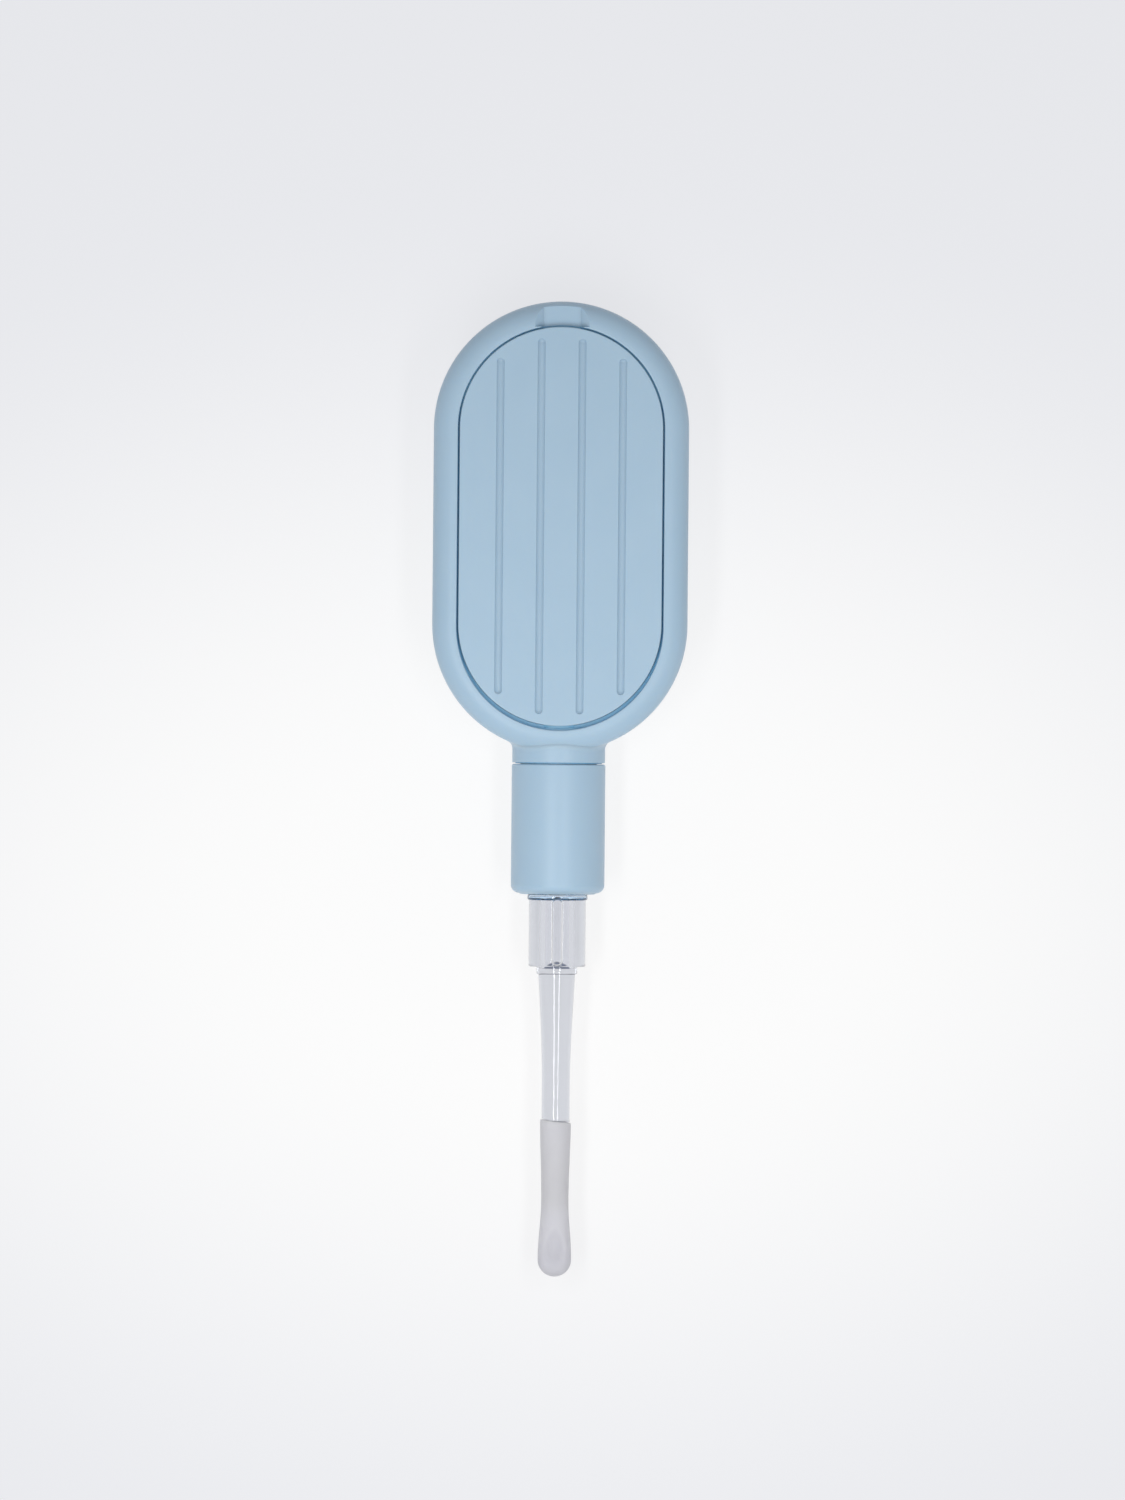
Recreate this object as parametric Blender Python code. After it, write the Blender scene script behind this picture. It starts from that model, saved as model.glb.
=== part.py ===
"""Lighted ear pick: a storage handle with a hinged lid, a twist collar that switches the lamp,
a cartridge of cells and lamp inside it, and a clear pick with a soft slip-on tip.

Lengths are in metres. The pick lies on its back: +Y runs along it towards the handle's end,
+X across it and +Z out of its front. The origin is under the middle, on the surface it lies on.
"""

import math

import bmesh
import bpy
from mathutils import Matrix, Vector

MM = 0.001

# Handle case, two shells that meet at half thickness
CASE_WIDTH = 34.0 * MM
CASE_STRAIGHT = 26.0 * MM
CASE_THICKNESS = 14.0 * MM
CASE_WALL = 1.6 * MM
CASE_EDGE_RADIUS = 2.8 * MM
FLOOR_CORNER_RADIUS = 1.2 * MM
PARTING_GAP = 0.12 * MM
LIP_HEIGHT = 0.9 * MM
LIP_CLEARANCE = 0.10 * MM

# Lid in the front shell
RIM_WIDTH = 3.25 * MM
LID_THICKNESS = 1.6 * MM
LID_GAP = 0.22 * MM
LID_FILLET = 0.25 * MM
LEDGE_WIDTH = 1.2 * MM
LEDGE_THICKNESS = 1.2 * MM
LEDGE_CLEARANCE = 0.15 * MM
SKIRT_WALL = 0.9 * MM
SKIRT_DEPTH = 1.1 * MM
SKIRT_CLEARANCE = 0.25 * MM
SNAP_BEAD = 0.12 * MM
LATCH_LENGTH = 7.0 * MM
LATCH_DEPTH = 1.1 * MM
LATCH_SETBACK = 0.10 * MM
GROOVE_WIDTH = 1.05 * MM
GROOVE_DEPTH = 0.45 * MM
GROOVE_SPACING = 5.43 * MM
INNER_GROOVE_MARGIN = 1.65 * MM
OUTER_GROOVE_MARGIN = 1.80 * MM

# Strap hinge moulded between lid and rim at the neck end
HINGE_EXTRA_GAP = 0.25 * MM
HINGE_LENGTH = 4.0 * MM
STRAP_THIN = 0.08 * MM
STRAP_THICK = 0.30 * MM
STRAP_SLIT = 0.06 * MM
STRAP_ROOT = 0.40 * MM

# Nail notch in the rim at the far end
NOTCH_FLOOR_WIDTH = 4.9 * MM
NOTCH_TOP_WIDTH = 7.3 * MM
NOTCH_DEPTH = 1.0 * MM

# Neck and the block that holds the barrel
NECK_STEP = 0.15 * MM
NECK_LENGTH = 1.4 * MM
NECK_FILLET = 1.1 * MM
SEAM_EDGE = 0.15 * MM
BLOCK_WALL = 1.3 * MM

# Battery barrel, fixed in the neck by a keyed flange
BARREL_WALL = 0.50 * MM
BARREL_SWITCH_GAP = 1.08 * MM
BARREL_END_WALL = 0.80 * MM
FLANGE_COVER = 0.30 * MM
FLANGE_SETBACK = 3.0 * MM
FLANGE_KEY_REACH = 0.70 * MM
FLANGE_KEY_WIDTH = 1.0 * MM
SEAT_CLEARANCE = 0.10 * MM
FIT_CLEARANCE = 0.15 * MM
BEAD_HEIGHT = 0.22 * MM
BEAD_SETBACK = 6.0 * MM
BEAD_WIDTH = 0.60 * MM
RING_GROOVE_DEPTH = 0.25 * MM
RING_GROOVE_SETBACK = 2.8 * MM
RING_WIRE = 0.34 * MM
RING_SLACK = 0.02 * MM
STOP_LUG_HEIGHT = 0.60 * MM
STOP_LUG_LENGTH = 1.0 * MM
STOP_LUG_SETBACK = 0.40 * MM
STOP_LUG_ANGLE = 12.0
TWIST_ANGLE = 60.0
STOP_CLEARANCE_ANGLE = 3.0

# Twist collar
COLLAR_WALL = 1.1 * MM
COLLAR_LENGTH = 17.4 * MM
COLLAR_GAP = 0.15 * MM
COLLAR_CORNER_RADIUS = 1.1 * MM
COLLAR_DOME = 0.15 * MM
MOUTH_CLEARANCE = 0.17 * MM
MOUTH_CHAMFER = 0.25 * MM
SWITCH_RING_WALL = 0.40 * MM
SWITCH_CLEARANCE = 0.05 * MM
SWITCH_RING_WIDTH = 1.4 * MM
SWITCH_RING_SPAN = 210.0
DIMPLE_HEIGHT = 0.10 * MM
DIMPLE_ANGLE = 6.0

# Cells, springs and contacts
CELL_RADIUS = 3.95 * MM
CELL_HEIGHT = 3.6 * MM
CELL_COUNT = 3
CELL_CAP_RADIUS = 3.2 * MM
CELL_CAP_HEIGHT = 0.45 * MM
CELL_GAP = 0.08 * MM
CELL_CLEARANCE = 0.12 * MM
HOLDER_WALL = 0.38 * MM
HOLDER_END_WALL = 0.60 * MM
HOLDER_END_GAP = 0.30 * MM
HOLDER_LIP = 0.60 * MM
HOLDER_FRONT_RING = 0.70 * MM
SEAT_DISC_THICKNESS = 0.20 * MM
SPRING_WIRE = 0.35 * MM
SPRING_HEIGHT = 1.70 * MM
SPRING_BASE_RADIUS = 3.1 * MM
SPRING_TOP_RADIUS = 1.2 * MM
SPRING_TURNS = 2.5
CONTACT_THICKNESS = 0.25 * MM
STRIP_WIDTH = 1.2 * MM
STRIP_BUMP = 0.10 * MM
KEY_RIB_WIDTH = 1.0 * MM

# Lamp and its carrier
CARRIER_THICKNESS = 1.3 * MM
NOSE_WALL = 0.38 * MM
NOSE_LENGTH = 2.9 * MM
LED_RADIUS = 1.45 * MM
LED_FLANGE_LIP = 0.20 * MM
LED_FLANGE_HEIGHT = 0.60 * MM
LED_LENGTH = 4.1 * MM
LED_CLEARANCE = 0.12 * MM
LEAD_RADIUS = 0.20 * MM
LEAD_SPACING = 2.0 * MM
LEAD_CHANNEL_DEPTH = 0.80 * MM
NOSE_RING_WIRE = 0.36 * MM
NOSE_RING_SETBACK = 1.1 * MM

# Clear pick
PLUG_SEAT_GAP = 0.32 * MM
CONE_LENGTH = 1.25 * MM
SOCKET_RADIUS = 3.80 * MM
SOCKET_LENGTH = 8.4 * MM
SHOULDER_RADIUS = 0.5 * MM
POCKET_CLEARANCE = 0.20 * MM
NOSE_SEAT_GAP = 0.40 * MM
LAMP_BORE_CLEARANCE = 0.15 * MM
POCKET_END_WALL = 0.5 * MM
POCKET_DOME = 0.7 * MM
KEYWAY_WIDTH = 1.3 * MM
KEYWAY_DEPTH = 0.45 * MM
STEP_RING_LIP = 0.27 * MM
STEP_RING_LENGTH = 1.0 * MM
STEM_LENGTH = 19.3 * MM
STEM_TAPER_LENGTH = 15.5 * MM
STEM_TOP_RADIUS = 2.47 * MM
STEM_END_RADIUS = 1.87 * MM
CORE_LENGTH = 12.5 * MM
CORE_RADIUS = 1.05 * MM

# Soft slip-on tip
SLEEVE_LENGTH = 21.0 * MM
SLEEVE_GAP = 0.10 * MM
SLEEVE_TOP_RADIUS = 2.14 * MM
SLEEVE_WAIST_RADIUS = 1.94 * MM
SLEEVE_WAIST_PLACE = 10.7 * MM
SLEEVE_BULGE_RADIUS = 2.42 * MM
SLEEVE_BULGE_HALF_THICKNESS = 1.75 * MM
SLEEVE_BORE_CLEARANCE = 0.15 * MM
SCOOP_LENGTH = 5.4 * MM
SCOOP_WIDTH = 2.7 * MM
SCOOP_DEPTH = 0.30 * MM
SCOOP_SETBACK = 1.0 * MM

# Smoothness of round forms
CASE_STEPS = 22
TURN_STEPS = 36
INNER_STEPS = 20
TIP_STEPS = 24
ARC_STEPS = 5

# Drawn size of the empties on the joints' axes
AXIS_DISPLAY_SIZE = 5.0 * MM

# Radii from the cells outwards to the collar and neck
HOLDER_BORE_RADIUS = CELL_RADIUS + CELL_CLEARANCE
HOLDER_RADIUS = HOLDER_BORE_RADIUS + HOLDER_WALL
BARREL_BORE_RADIUS = HOLDER_RADIUS + FIT_CLEARANCE
BARREL_RADIUS = BARREL_BORE_RADIUS + BARREL_WALL
COLLAR_BORE_RADIUS = BARREL_RADIUS + FIT_CLEARANCE
COLLAR_RADIUS = COLLAR_BORE_RADIUS + COLLAR_WALL
NECK_RADIUS = COLLAR_RADIUS - NECK_STEP
FLANGE_RADIUS = NECK_RADIUS - FLANGE_COVER
MOUTH_RADIUS = HOLDER_RADIUS + MOUTH_CLEARANCE
PLUG_RADIUS = MOUTH_RADIUS - FIT_CLEARANCE

# Radii from the lamp outwards to the pick's pocket
LED_FLANGE_RADIUS = LED_RADIUS + LED_FLANGE_LIP
NOSE_BORE_RADIUS = LED_FLANGE_RADIUS + LED_CLEARANCE
NOSE_RADIUS = NOSE_BORE_RADIUS + NOSE_WALL
POCKET_RADIUS = NOSE_RADIUS + POCKET_CLEARANCE
LAMP_BORE_RADIUS = LED_RADIUS + LAMP_BORE_CLEARANCE
NOSE_RING_RADIUS = POCKET_RADIUS - RING_SLACK - NOSE_RING_WIRE / 2
STEP_RING_RADIUS = STEM_TOP_RADIUS + STEP_RING_LIP

# Places along the pick, from the handle's end at the top down to the tip
CASE_RADIUS = CASE_WIDTH / 2
AXIS_Z = CASE_THICKNESS / 2
PICK_LENGTH = CONE_LENGTH + SOCKET_LENGTH + STEP_RING_LENGTH + STEM_LENGTH
TOTAL_LENGTH = (CASE_WIDTH + CASE_STRAIGHT + NECK_LENGTH + COLLAR_GAP + COLLAR_LENGTH
                + PICK_LENGTH + SLEEVE_GAP + SLEEVE_LENGTH)
CASE_END_Y = TOTAL_LENGTH / 2
UPPER_CENTRE_Y = CASE_END_Y - CASE_RADIUS
LOWER_CENTRE_Y = UPPER_CENTRE_Y - CASE_STRAIGHT
CASE_FOOT_Y = LOWER_CENTRE_Y - CASE_RADIUS
NECK_END_Y = CASE_FOOT_Y - NECK_LENGTH
FLANGE_Y = NECK_END_Y + FLANGE_SETBACK
BARREL_END_Y = FLANGE_Y + BARREL_END_WALL
BLOCK_END_Y = BARREL_END_Y + SEAT_CLEARANCE + BLOCK_WALL
COLLAR_REAR_Y = NECK_END_Y - COLLAR_GAP
MOUTH_Y = COLLAR_REAR_Y - COLLAR_LENGTH
CONE_END_Y = MOUTH_Y - CONE_LENGTH
SOCKET_END_Y = CONE_END_Y - SOCKET_LENGTH
STEP_RING_END_Y = SOCKET_END_Y - STEP_RING_LENGTH
STEM_END_Y = STEP_RING_END_Y - STEM_LENGTH
SLEEVE_TOP_Y = STEM_END_Y - SLEEVE_GAP
TIP_Y = SLEEVE_TOP_Y - SLEEVE_LENGTH

# Heights and insets in the front shell
LID_INSET = RIM_WIDTH + LID_GAP
LID_RADIUS = CASE_RADIUS - LID_INSET
LEDGE_INSET = RIM_WIDTH + LEDGE_WIDTH
LID_UNDER_Z = CASE_THICKNESS - LID_THICKNESS
LEDGE_TOP_Z = LID_UNDER_Z - LEDGE_CLEARANCE
LEDGE_UNDER_Z = LEDGE_TOP_Z - LEDGE_THICKNESS
HINGE_GAP = LID_GAP + HINGE_EXTRA_GAP
HINGE_Y = LOWER_CENTRE_Y - CASE_RADIUS + LID_INSET - HINGE_GAP / 2
HINGE_Z = CASE_THICKNESS - LID_FILLET

# Places in the cartridge, from its rear end wall towards the lamp
HOLDER_REAR_Y = FLANGE_Y - HOLDER_END_GAP
SEAT_DISC_REAR_Y = HOLDER_REAR_Y - HOLDER_END_WALL - CELL_GAP
SPRING_REAR_Y = SEAT_DISC_REAR_Y - SEAT_DISC_THICKNESS - CELL_GAP
CELLS_REAR_Y = SPRING_REAR_Y - SPRING_HEIGHT - CELL_GAP
CELL_PITCH = CELL_HEIGHT + CELL_GAP
CELLS_FRONT_Y = CELLS_REAR_Y - CELL_COUNT * CELL_PITCH
CONTACT_FRONT_Y = CELLS_FRONT_Y - CONTACT_THICKNESS
CARRIER_REAR_Y = CONTACT_FRONT_Y - SEAT_CLEARANCE - HOLDER_END_GAP
CARRIER_FRONT_Y = CARRIER_REAR_Y - CARRIER_THICKNESS
NOSE_END_Y = CARRIER_FRONT_Y - NOSE_LENGTH
SWITCH_REAR_Y = CARRIER_REAR_Y + 0.5 * (SWITCH_RING_WIDTH - CARRIER_THICKNESS)
SWITCH_FRONT_Y = SWITCH_REAR_Y - SWITCH_RING_WIDTH
MOUTH_STEP_Y = SWITCH_FRONT_Y - FIT_CLEARANCE
BARREL_MOUTH_Y = SWITCH_REAR_Y + BARREL_SWITCH_GAP
PLUG_END_Y = CARRIER_FRONT_Y - PLUG_SEAT_GAP


def arc(across, along, radius, start, end, steps=ARC_STEPS):
    """Profile points on an arc about (across, along), angles in degrees, both ends included."""
    points = []
    for index in range(steps + 1):
        angle = math.radians(start + (end - start) * index / steps)
        points.append((across + radius * math.cos(angle), along + radius * math.sin(angle)))
    return points


def capsule(across, low, high, radius, z, steps=CASE_STEPS):
    """Level ring with round ends about (across, high) and (across, low)."""
    ring = []
    for start, centre in ((0.0, high), (math.pi, low)):
        for index in range(steps + 1):
            angle = start + math.pi * index / steps
            ring.append((across + radius * math.cos(angle), centre + radius * math.sin(angle), z))
    return ring


def stadium(inset, z, drop=0.0):
    """Case outline drawn in by inset; drop moves its foot end towards the neck."""
    return capsule(0.0, LOWER_CENTRE_Y - drop, UPPER_CENTRE_Y, CASE_RADIUS - inset, z)


def oval(half_width, half_height, y, steps):
    """Upright ring about the long axis; a width of zero gives one point on the axis."""
    if half_width == 0.0:
        return [(0.0, y, AXIS_Z)]
    ring = []
    for index in range(steps):
        angle = 2 * math.pi * index / steps
        ring.append((half_width * math.cos(angle), y, AXIS_Z + half_height * math.sin(angle)))
    return ring


def skin(mesh, row, following):
    """Quads between two rows of vertices, or a fan where one of them is a single point."""
    count = max(len(row), len(following))
    for index in range(count):
        after = (index + 1) % count
        if len(row) == 1:
            corners = (row[0], following[after], following[index])
        elif len(following) == 1:
            corners = (row[index], row[after], following[0])
        else:
            corners = (row[index], row[after], following[after], following[index])
        mesh.faces.new(corners)


def add_object(name, mesh):
    """Named object from a closed mesh whose faces are turned outwards and shaded smooth."""
    bmesh.ops.recalc_face_normals(mesh, faces=mesh.faces)
    data = bpy.data.meshes.new(name)
    mesh.to_mesh(data)
    mesh.free()
    data.shade_smooth()
    data.set_sharp_from_angle(angle=math.radians(35))
    thing = bpy.data.objects.new(name, data)
    bpy.context.scene.collection.objects.link(thing)
    return thing


def loft(name, rings, looped=False):
    """Solid skinned over rings; a looped one is a closed tube, another is capped at both ends."""
    mesh = bmesh.new()
    rows = [[mesh.verts.new(point) for point in ring] for ring in rings]
    pairs = list(zip(rows, rows[1:]))
    if looped:
        pairs.append((rows[-1], rows[0]))
    for row, following in pairs:
        skin(mesh, row, following)
    if not looped:
        for row in (rows[0], rows[-1]):
            if len(row) > 2:
                mesh.faces.new(row)
    return add_object(name, mesh)


def turned(name, profile, steps=TURN_STEPS, looped=False):
    """Solid turned about the long axis from (radius, y) points."""
    return loft(name, [oval(radius, radius, y, steps) for radius, y in profile], looped)


def block(name, low, high):
    """Box between two corners."""
    rings = []
    for z in (low[2], high[2]):
        rings.append([(low[0], low[1], z), (high[0], low[1], z), (high[0], high[1], z),
                      (low[0], high[1], z)])
    return loft(name, rings)


def prism_across(name, half_length, outline):
    """Bar along X with the given (y, z) outline."""
    return loft(name, [[(x, y, z) for y, z in outline] for x in (-half_length, half_length)])


def sector_ring(outline, y):
    """Upright ring of (radius, angle) points, angles in degrees from +X towards +Z."""
    ring = []
    for radius, angle in outline:
        turn = math.radians(angle)
        ring.append((radius * math.cos(turn), y, AXIS_Z + radius * math.sin(turn)))
    return ring


def sector(name, inner, outer, start, end, rear, front, steps=8):
    """Part of a ring about the long axis, between two angles and two places along it."""
    angles = [start + (end - start) * index / steps for index in range(steps + 1)]
    outline = [(outer, angle) for angle in angles] + [(inner, angle) for angle in reversed(angles)]
    return loft(name, [sector_ring(outline, rear), sector_ring(outline, front)])


def shape_with(target, operation, operand):
    """Unite the target with, or cut it by, an operand that is itself only a guide."""
    modifier = target.modifiers.new(operand.name, "BOOLEAN")
    modifier.operation = operation
    modifier.object = operand
    modifier.solver = "EXACT"
    operand.hide_render = True
    operand.display_type = "WIRE"


def material(name, colour, roughness, metallic=0.0, transmission=0.0):
    """Principled material from a linear colour."""
    made = bpy.data.materials.new(name)
    made.use_nodes = True
    shader = made.node_tree.nodes["Principled BSDF"]
    shader.inputs["Base Color"].default_value = (*colour, 1.0)
    shader.inputs["Roughness"].default_value = roughness
    shader.inputs["Metallic"].default_value = metallic
    shader.inputs["Transmission Weight"].default_value = transmission
    made.diffuse_color = (*colour, 1.0)
    return made


def finish(thing, surface):
    """Give a piece its material."""
    thing.data.materials.append(surface)
    return thing


def neck_corner(angle, share):
    """Point (x, y, rise) on the corner rolled between neck and case, from neck (0) to case (1)."""
    across = (NECK_RADIUS + NECK_FILLET) * math.cos(angle)
    rise = (NECK_RADIUS + NECK_FILLET) * math.sin(angle)
    edge_rise = min(rise, AXIS_Z - CASE_EDGE_RADIUS)
    edge_reach = CASE_RADIUS - CASE_EDGE_RADIUS
    reach = edge_reach + math.sqrt((CASE_EDGE_RADIUS + NECK_FILLET) ** 2 - (rise - edge_rise) ** 2)
    middle = Vector((across, LOWER_CENTRE_Y - math.sqrt(reach ** 2 - across ** 2), rise))
    case_edge = Vector((across, middle.y - LOWER_CENTRE_Y, 0.0)).normalized() * edge_reach
    case_edge += Vector((0.0, LOWER_CENTRE_Y, edge_rise))
    to_neck = Vector((-math.cos(angle), 0.0, -math.sin(angle)))
    return tuple(middle + NECK_FILLET * to_neck.slerp((case_edge - middle).normalized(), share))


def neck_half(name, side):
    """Half of the neck and of the block behind it, in front of (1) or behind (-1) the parting."""
    angles = [2 * math.pi * index / TURN_STEPS for index in range(TURN_STEPS // 2 + 1)]
    rows = []
    for radius, y in ((NECK_RADIUS - SEAM_EDGE, NECK_END_Y), (NECK_RADIUS, NECK_END_Y + SEAM_EDGE)):
        rows.append([(radius * math.cos(angle), y, radius * math.sin(angle)) for angle in angles])
    for index in range(ARC_STEPS + 1):
        rows.append([neck_corner(angle, index / ARC_STEPS) for angle in angles])
    rows.append([(x, BLOCK_END_Y, rise) for x, _, rise in rows[-1]])
    half = loft(name, [[(x, y, AXIS_Z + side * max(PARTING_GAP / 2, rise)) for x, y, rise in row]
                       for row in rows])
    lid_space = loft(name + "_lid_space", [stadium(RIM_WIDTH - FIT_CLEARANCE, z)
                                           for z in (LEDGE_TOP_Z - FIT_CLEARANCE, 2 * CASE_THICKNESS)])
    if side > 0:
        shape_with(half, "DIFFERENCE", lid_space)
    else:
        bpy.data.objects.remove(lid_space)
    return half


def barrel_space():
    """Room for the barrel and its flange in the neck, with running room at its seat."""
    bore = BARREL_RADIUS + SEAT_CLEARANCE
    groove = FLANGE_RADIUS + SEAT_CLEARANCE
    outside = NECK_END_Y - NECK_LENGTH
    groove_front = FLANGE_Y - SEAT_CLEARANCE
    groove_rear = BARREL_END_Y + SEAT_CLEARANCE
    space = turned("barrel_space", [(0.0, outside), (bore, outside), (bore, groove_front),
                                    (groove, groove_front), (groove, groove_rear), (0.0, groove_rear)])
    key_space = block("flange_key_space",
                      (BARREL_RADIUS, groove_front, AXIS_Z - FLANGE_KEY_WIDTH / 2 - SEAT_CLEARANCE),
                      (FLANGE_RADIUS + FLANGE_KEY_REACH + SEAT_CLEARANCE, groove_rear,
                       AXIS_Z + FLANGE_KEY_WIDTH / 2 + SEAT_CLEARANCE))
    return space, key_space


def strap_nib(name, side):
    """Half of the strap hinge, tapering to its fold line, on the lid (1) or the rim (-1)."""
    fold = HINGE_Y + side * STRAP_SLIT / 2
    root = HINGE_Y + side * (HINGE_GAP / 2 + STRAP_ROOT)
    return prism_across(name, HINGE_LENGTH / 2, [(fold, HINGE_Z), (root, HINGE_Z),
                                                 (root, HINGE_Z - STRAP_THICK),
                                                 (fold, HINGE_Z - STRAP_THIN)])


def rear_shell(surface, spaces):
    """Back half of the case, an open tray with a raised lip, and the back half of the neck."""
    parting = AXIS_Z - PARTING_GAP / 2
    lip_inset = (CASE_WALL + LIP_CLEARANCE) / 2
    lip_top = parting + LIP_HEIGHT
    corner = CASE_WALL + FLOOR_CORNER_RADIUS
    profile = arc(CASE_EDGE_RADIUS, CASE_EDGE_RADIUS, CASE_EDGE_RADIUS, 270, 180)
    profile += [(0.0, parting), (lip_inset, parting), (lip_inset, lip_top), (CASE_WALL, lip_top)]
    profile += arc(corner, corner, FLOOR_CORNER_RADIUS, 180, 270)
    shell = loft("rear_shell", [stadium(inset, z) for inset, z in profile])
    half = NECK_RADIUS + NECK_FILLET
    lip_stop = block("lip_stop", (-half, NECK_END_Y, parting),
                     (half, BLOCK_END_Y + FIT_CLEARANCE, AXIS_Z + LIP_HEIGHT + FIT_CLEARANCE))
    shape_with(shell, "DIFFERENCE", lip_stop)
    shape_with(shell, "UNION", neck_half("rear_neck", -1))
    for space in spaces:
        shape_with(shell, "DIFFERENCE", space)
    return finish(shell, surface)


def notch_space():
    """Room for the fingernail: flat floor, sloping sides, open to the outer edge."""
    slope = (NOTCH_TOP_WIDTH - NOTCH_FLOOR_WIDTH) / 2 / NOTCH_DEPTH
    inner = CASE_END_Y - RIM_WIDTH - LID_GAP
    outer = CASE_END_Y + RIM_WIDTH
    rings = []
    for rise in (0.0, 2 * NOTCH_DEPTH):
        half = NOTCH_FLOOR_WIDTH / 2 + slope * rise
        z = CASE_THICKNESS - NOTCH_DEPTH + rise
        rings.append([(-half, inner, z), (half, inner, z), (half, outer, z), (-half, outer, z)])
    return loft("notch_space", rings)


def front_shell(surface, spaces):
    """Front half of the case: rim, lid opening with its ledge, nail notch and half the neck."""
    top = CASE_THICKNESS
    parting = AXIS_Z + PARTING_GAP / 2
    skirt_inset = (CASE_WALL - LIP_CLEARANCE) / 2
    rebate_top = AXIS_Z - PARTING_GAP / 2 + LIP_HEIGHT + LIP_CLEARANCE
    brace_z = LEDGE_UNDER_Z - (LEDGE_INSET - CASE_WALL) / 2
    outside = [(0.0, parting)] + arc(CASE_EDGE_RADIUS, top - CASE_EDGE_RADIUS, CASE_EDGE_RADIUS, 180, 90)
    edge = arc(RIM_WIDTH - LID_FILLET, top - LID_FILLET, LID_FILLET, 90, 0, 3)
    edge.append((RIM_WIDTH, LEDGE_TOP_Z))
    inside = [(LEDGE_INSET, LEDGE_TOP_Z), (LEDGE_INSET, LEDGE_UNDER_Z), (CASE_WALL, brace_z),
              (CASE_WALL, rebate_top), (skirt_inset, rebate_top), (skirt_inset, parting)]
    rings = [stadium(inset, z) for inset, z in outside]
    rings += [stadium(inset, z, HINGE_EXTRA_GAP) for inset, z in edge]
    rings += [stadium(inset, z) for inset, z in inside]
    shell = loft("front_shell", rings, looped=True)
    shape_with(shell, "UNION", neck_half("front_neck", 1))
    for space in spaces:
        shape_with(shell, "DIFFERENCE", space)
    shape_with(shell, "DIFFERENCE", notch_space())
    shape_with(shell, "UNION", strap_nib("rim_strap_nib", -1))
    return finish(shell, surface)


def groove_space(name, across, margin):
    """Grip groove with round ends that stop short of the lid's edge, and a softened edge."""
    radius = GROOVE_WIDTH / 2
    middle = (LOWER_CENTRE_Y + UPPER_CENTRE_Y) / 2
    reach = CASE_STRAIGHT / 2 + math.sqrt(LID_RADIUS ** 2 - across ** 2) - margin - radius
    floor = CASE_THICKNESS - GROOVE_DEPTH
    softening = LID_FILLET / 2
    steps = ((radius / 2, floor), (radius * 0.85, floor + GROOVE_DEPTH / 4),
             (radius, floor + GROOVE_DEPTH * 0.7), (radius + softening, CASE_THICKNESS),
             (radius + 2 * softening, CASE_THICKNESS + softening))
    return loft(name, [capsule(across, middle - reach, middle + reach, size, z, 6)
                       for size, z in steps])


def latch(skirt_outer, skirt_inner, skirt_end):
    """Curved tab under the far end of the lid, with a snap bead that slopes both ways."""
    inner = CASE_RADIUS - skirt_inner + LATCH_SETBACK
    outer = CASE_RADIUS - skirt_outer - LATCH_SETBACK
    bead = outer + LATCH_SETBACK + SNAP_BEAD
    half_angle = LATCH_LENGTH / 2 / outer
    low = skirt_end - LATCH_DEPTH
    heights = [(low, outer)]
    heights += [(low + LATCH_DEPTH * share, radius)
                for share, radius in ((0.25, outer), (0.45, bead), (0.60, bead), (0.80, outer))]
    heights.append((skirt_end + SKIRT_DEPTH / 2, outer))
    segments = 7
    rings = []
    for z, reach in heights:
        ring = []
        for radius, way in ((reach, 1), (inner, -1)):
            for index in range(segments + 1):
                angle = math.pi / 2 + way * half_angle * (2 * index / segments - 1)
                ring.append((radius * math.cos(angle), UPPER_CENTRE_Y + radius * math.sin(angle), z))
        rings.append(ring)
    return loft("latch", rings)


def lid(surface):
    """Flush lid with four grip grooves, a locating skirt, a latch tab and its half of the strap."""
    top = CASE_THICKNESS
    skirt_outer = LEDGE_INSET + SKIRT_CLEARANCE
    skirt_inner = skirt_outer + SKIRT_WALL
    skirt_end = LID_UNDER_Z - SKIRT_DEPTH
    profile = [(skirt_inner, LID_UNDER_Z), (skirt_inner, skirt_end), (skirt_outer, skirt_end),
               (skirt_outer, LID_UNDER_Z), (LID_INSET, LID_UNDER_Z)]
    profile += arc(LID_INSET + LID_FILLET, top - LID_FILLET, LID_FILLET, 180, 90, 3)
    panel = loft("lid", [stadium(inset, z) for inset, z in profile])
    for index, margin in enumerate((OUTER_GROOVE_MARGIN, INNER_GROOVE_MARGIN,
                                    INNER_GROOVE_MARGIN, OUTER_GROOVE_MARGIN)):
        across = (index - 1.5) * GROOVE_SPACING
        shape_with(panel, "DIFFERENCE", groove_space(f"groove_{index + 1}", across, margin))
    shape_with(panel, "UNION", latch(skirt_outer, skirt_inner, skirt_end))
    shape_with(panel, "UNION", strap_nib("lid_strap_nib", 1))
    return finish(panel, surface)


def seal_ring(name, centre_radius, y, wire, surface):
    """Rubber ring of round section about the long axis."""
    section = arc(centre_radius, y, wire / 2, 0, 300, 5)
    return finish(turned(name, section, looped=True), surface)


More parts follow.
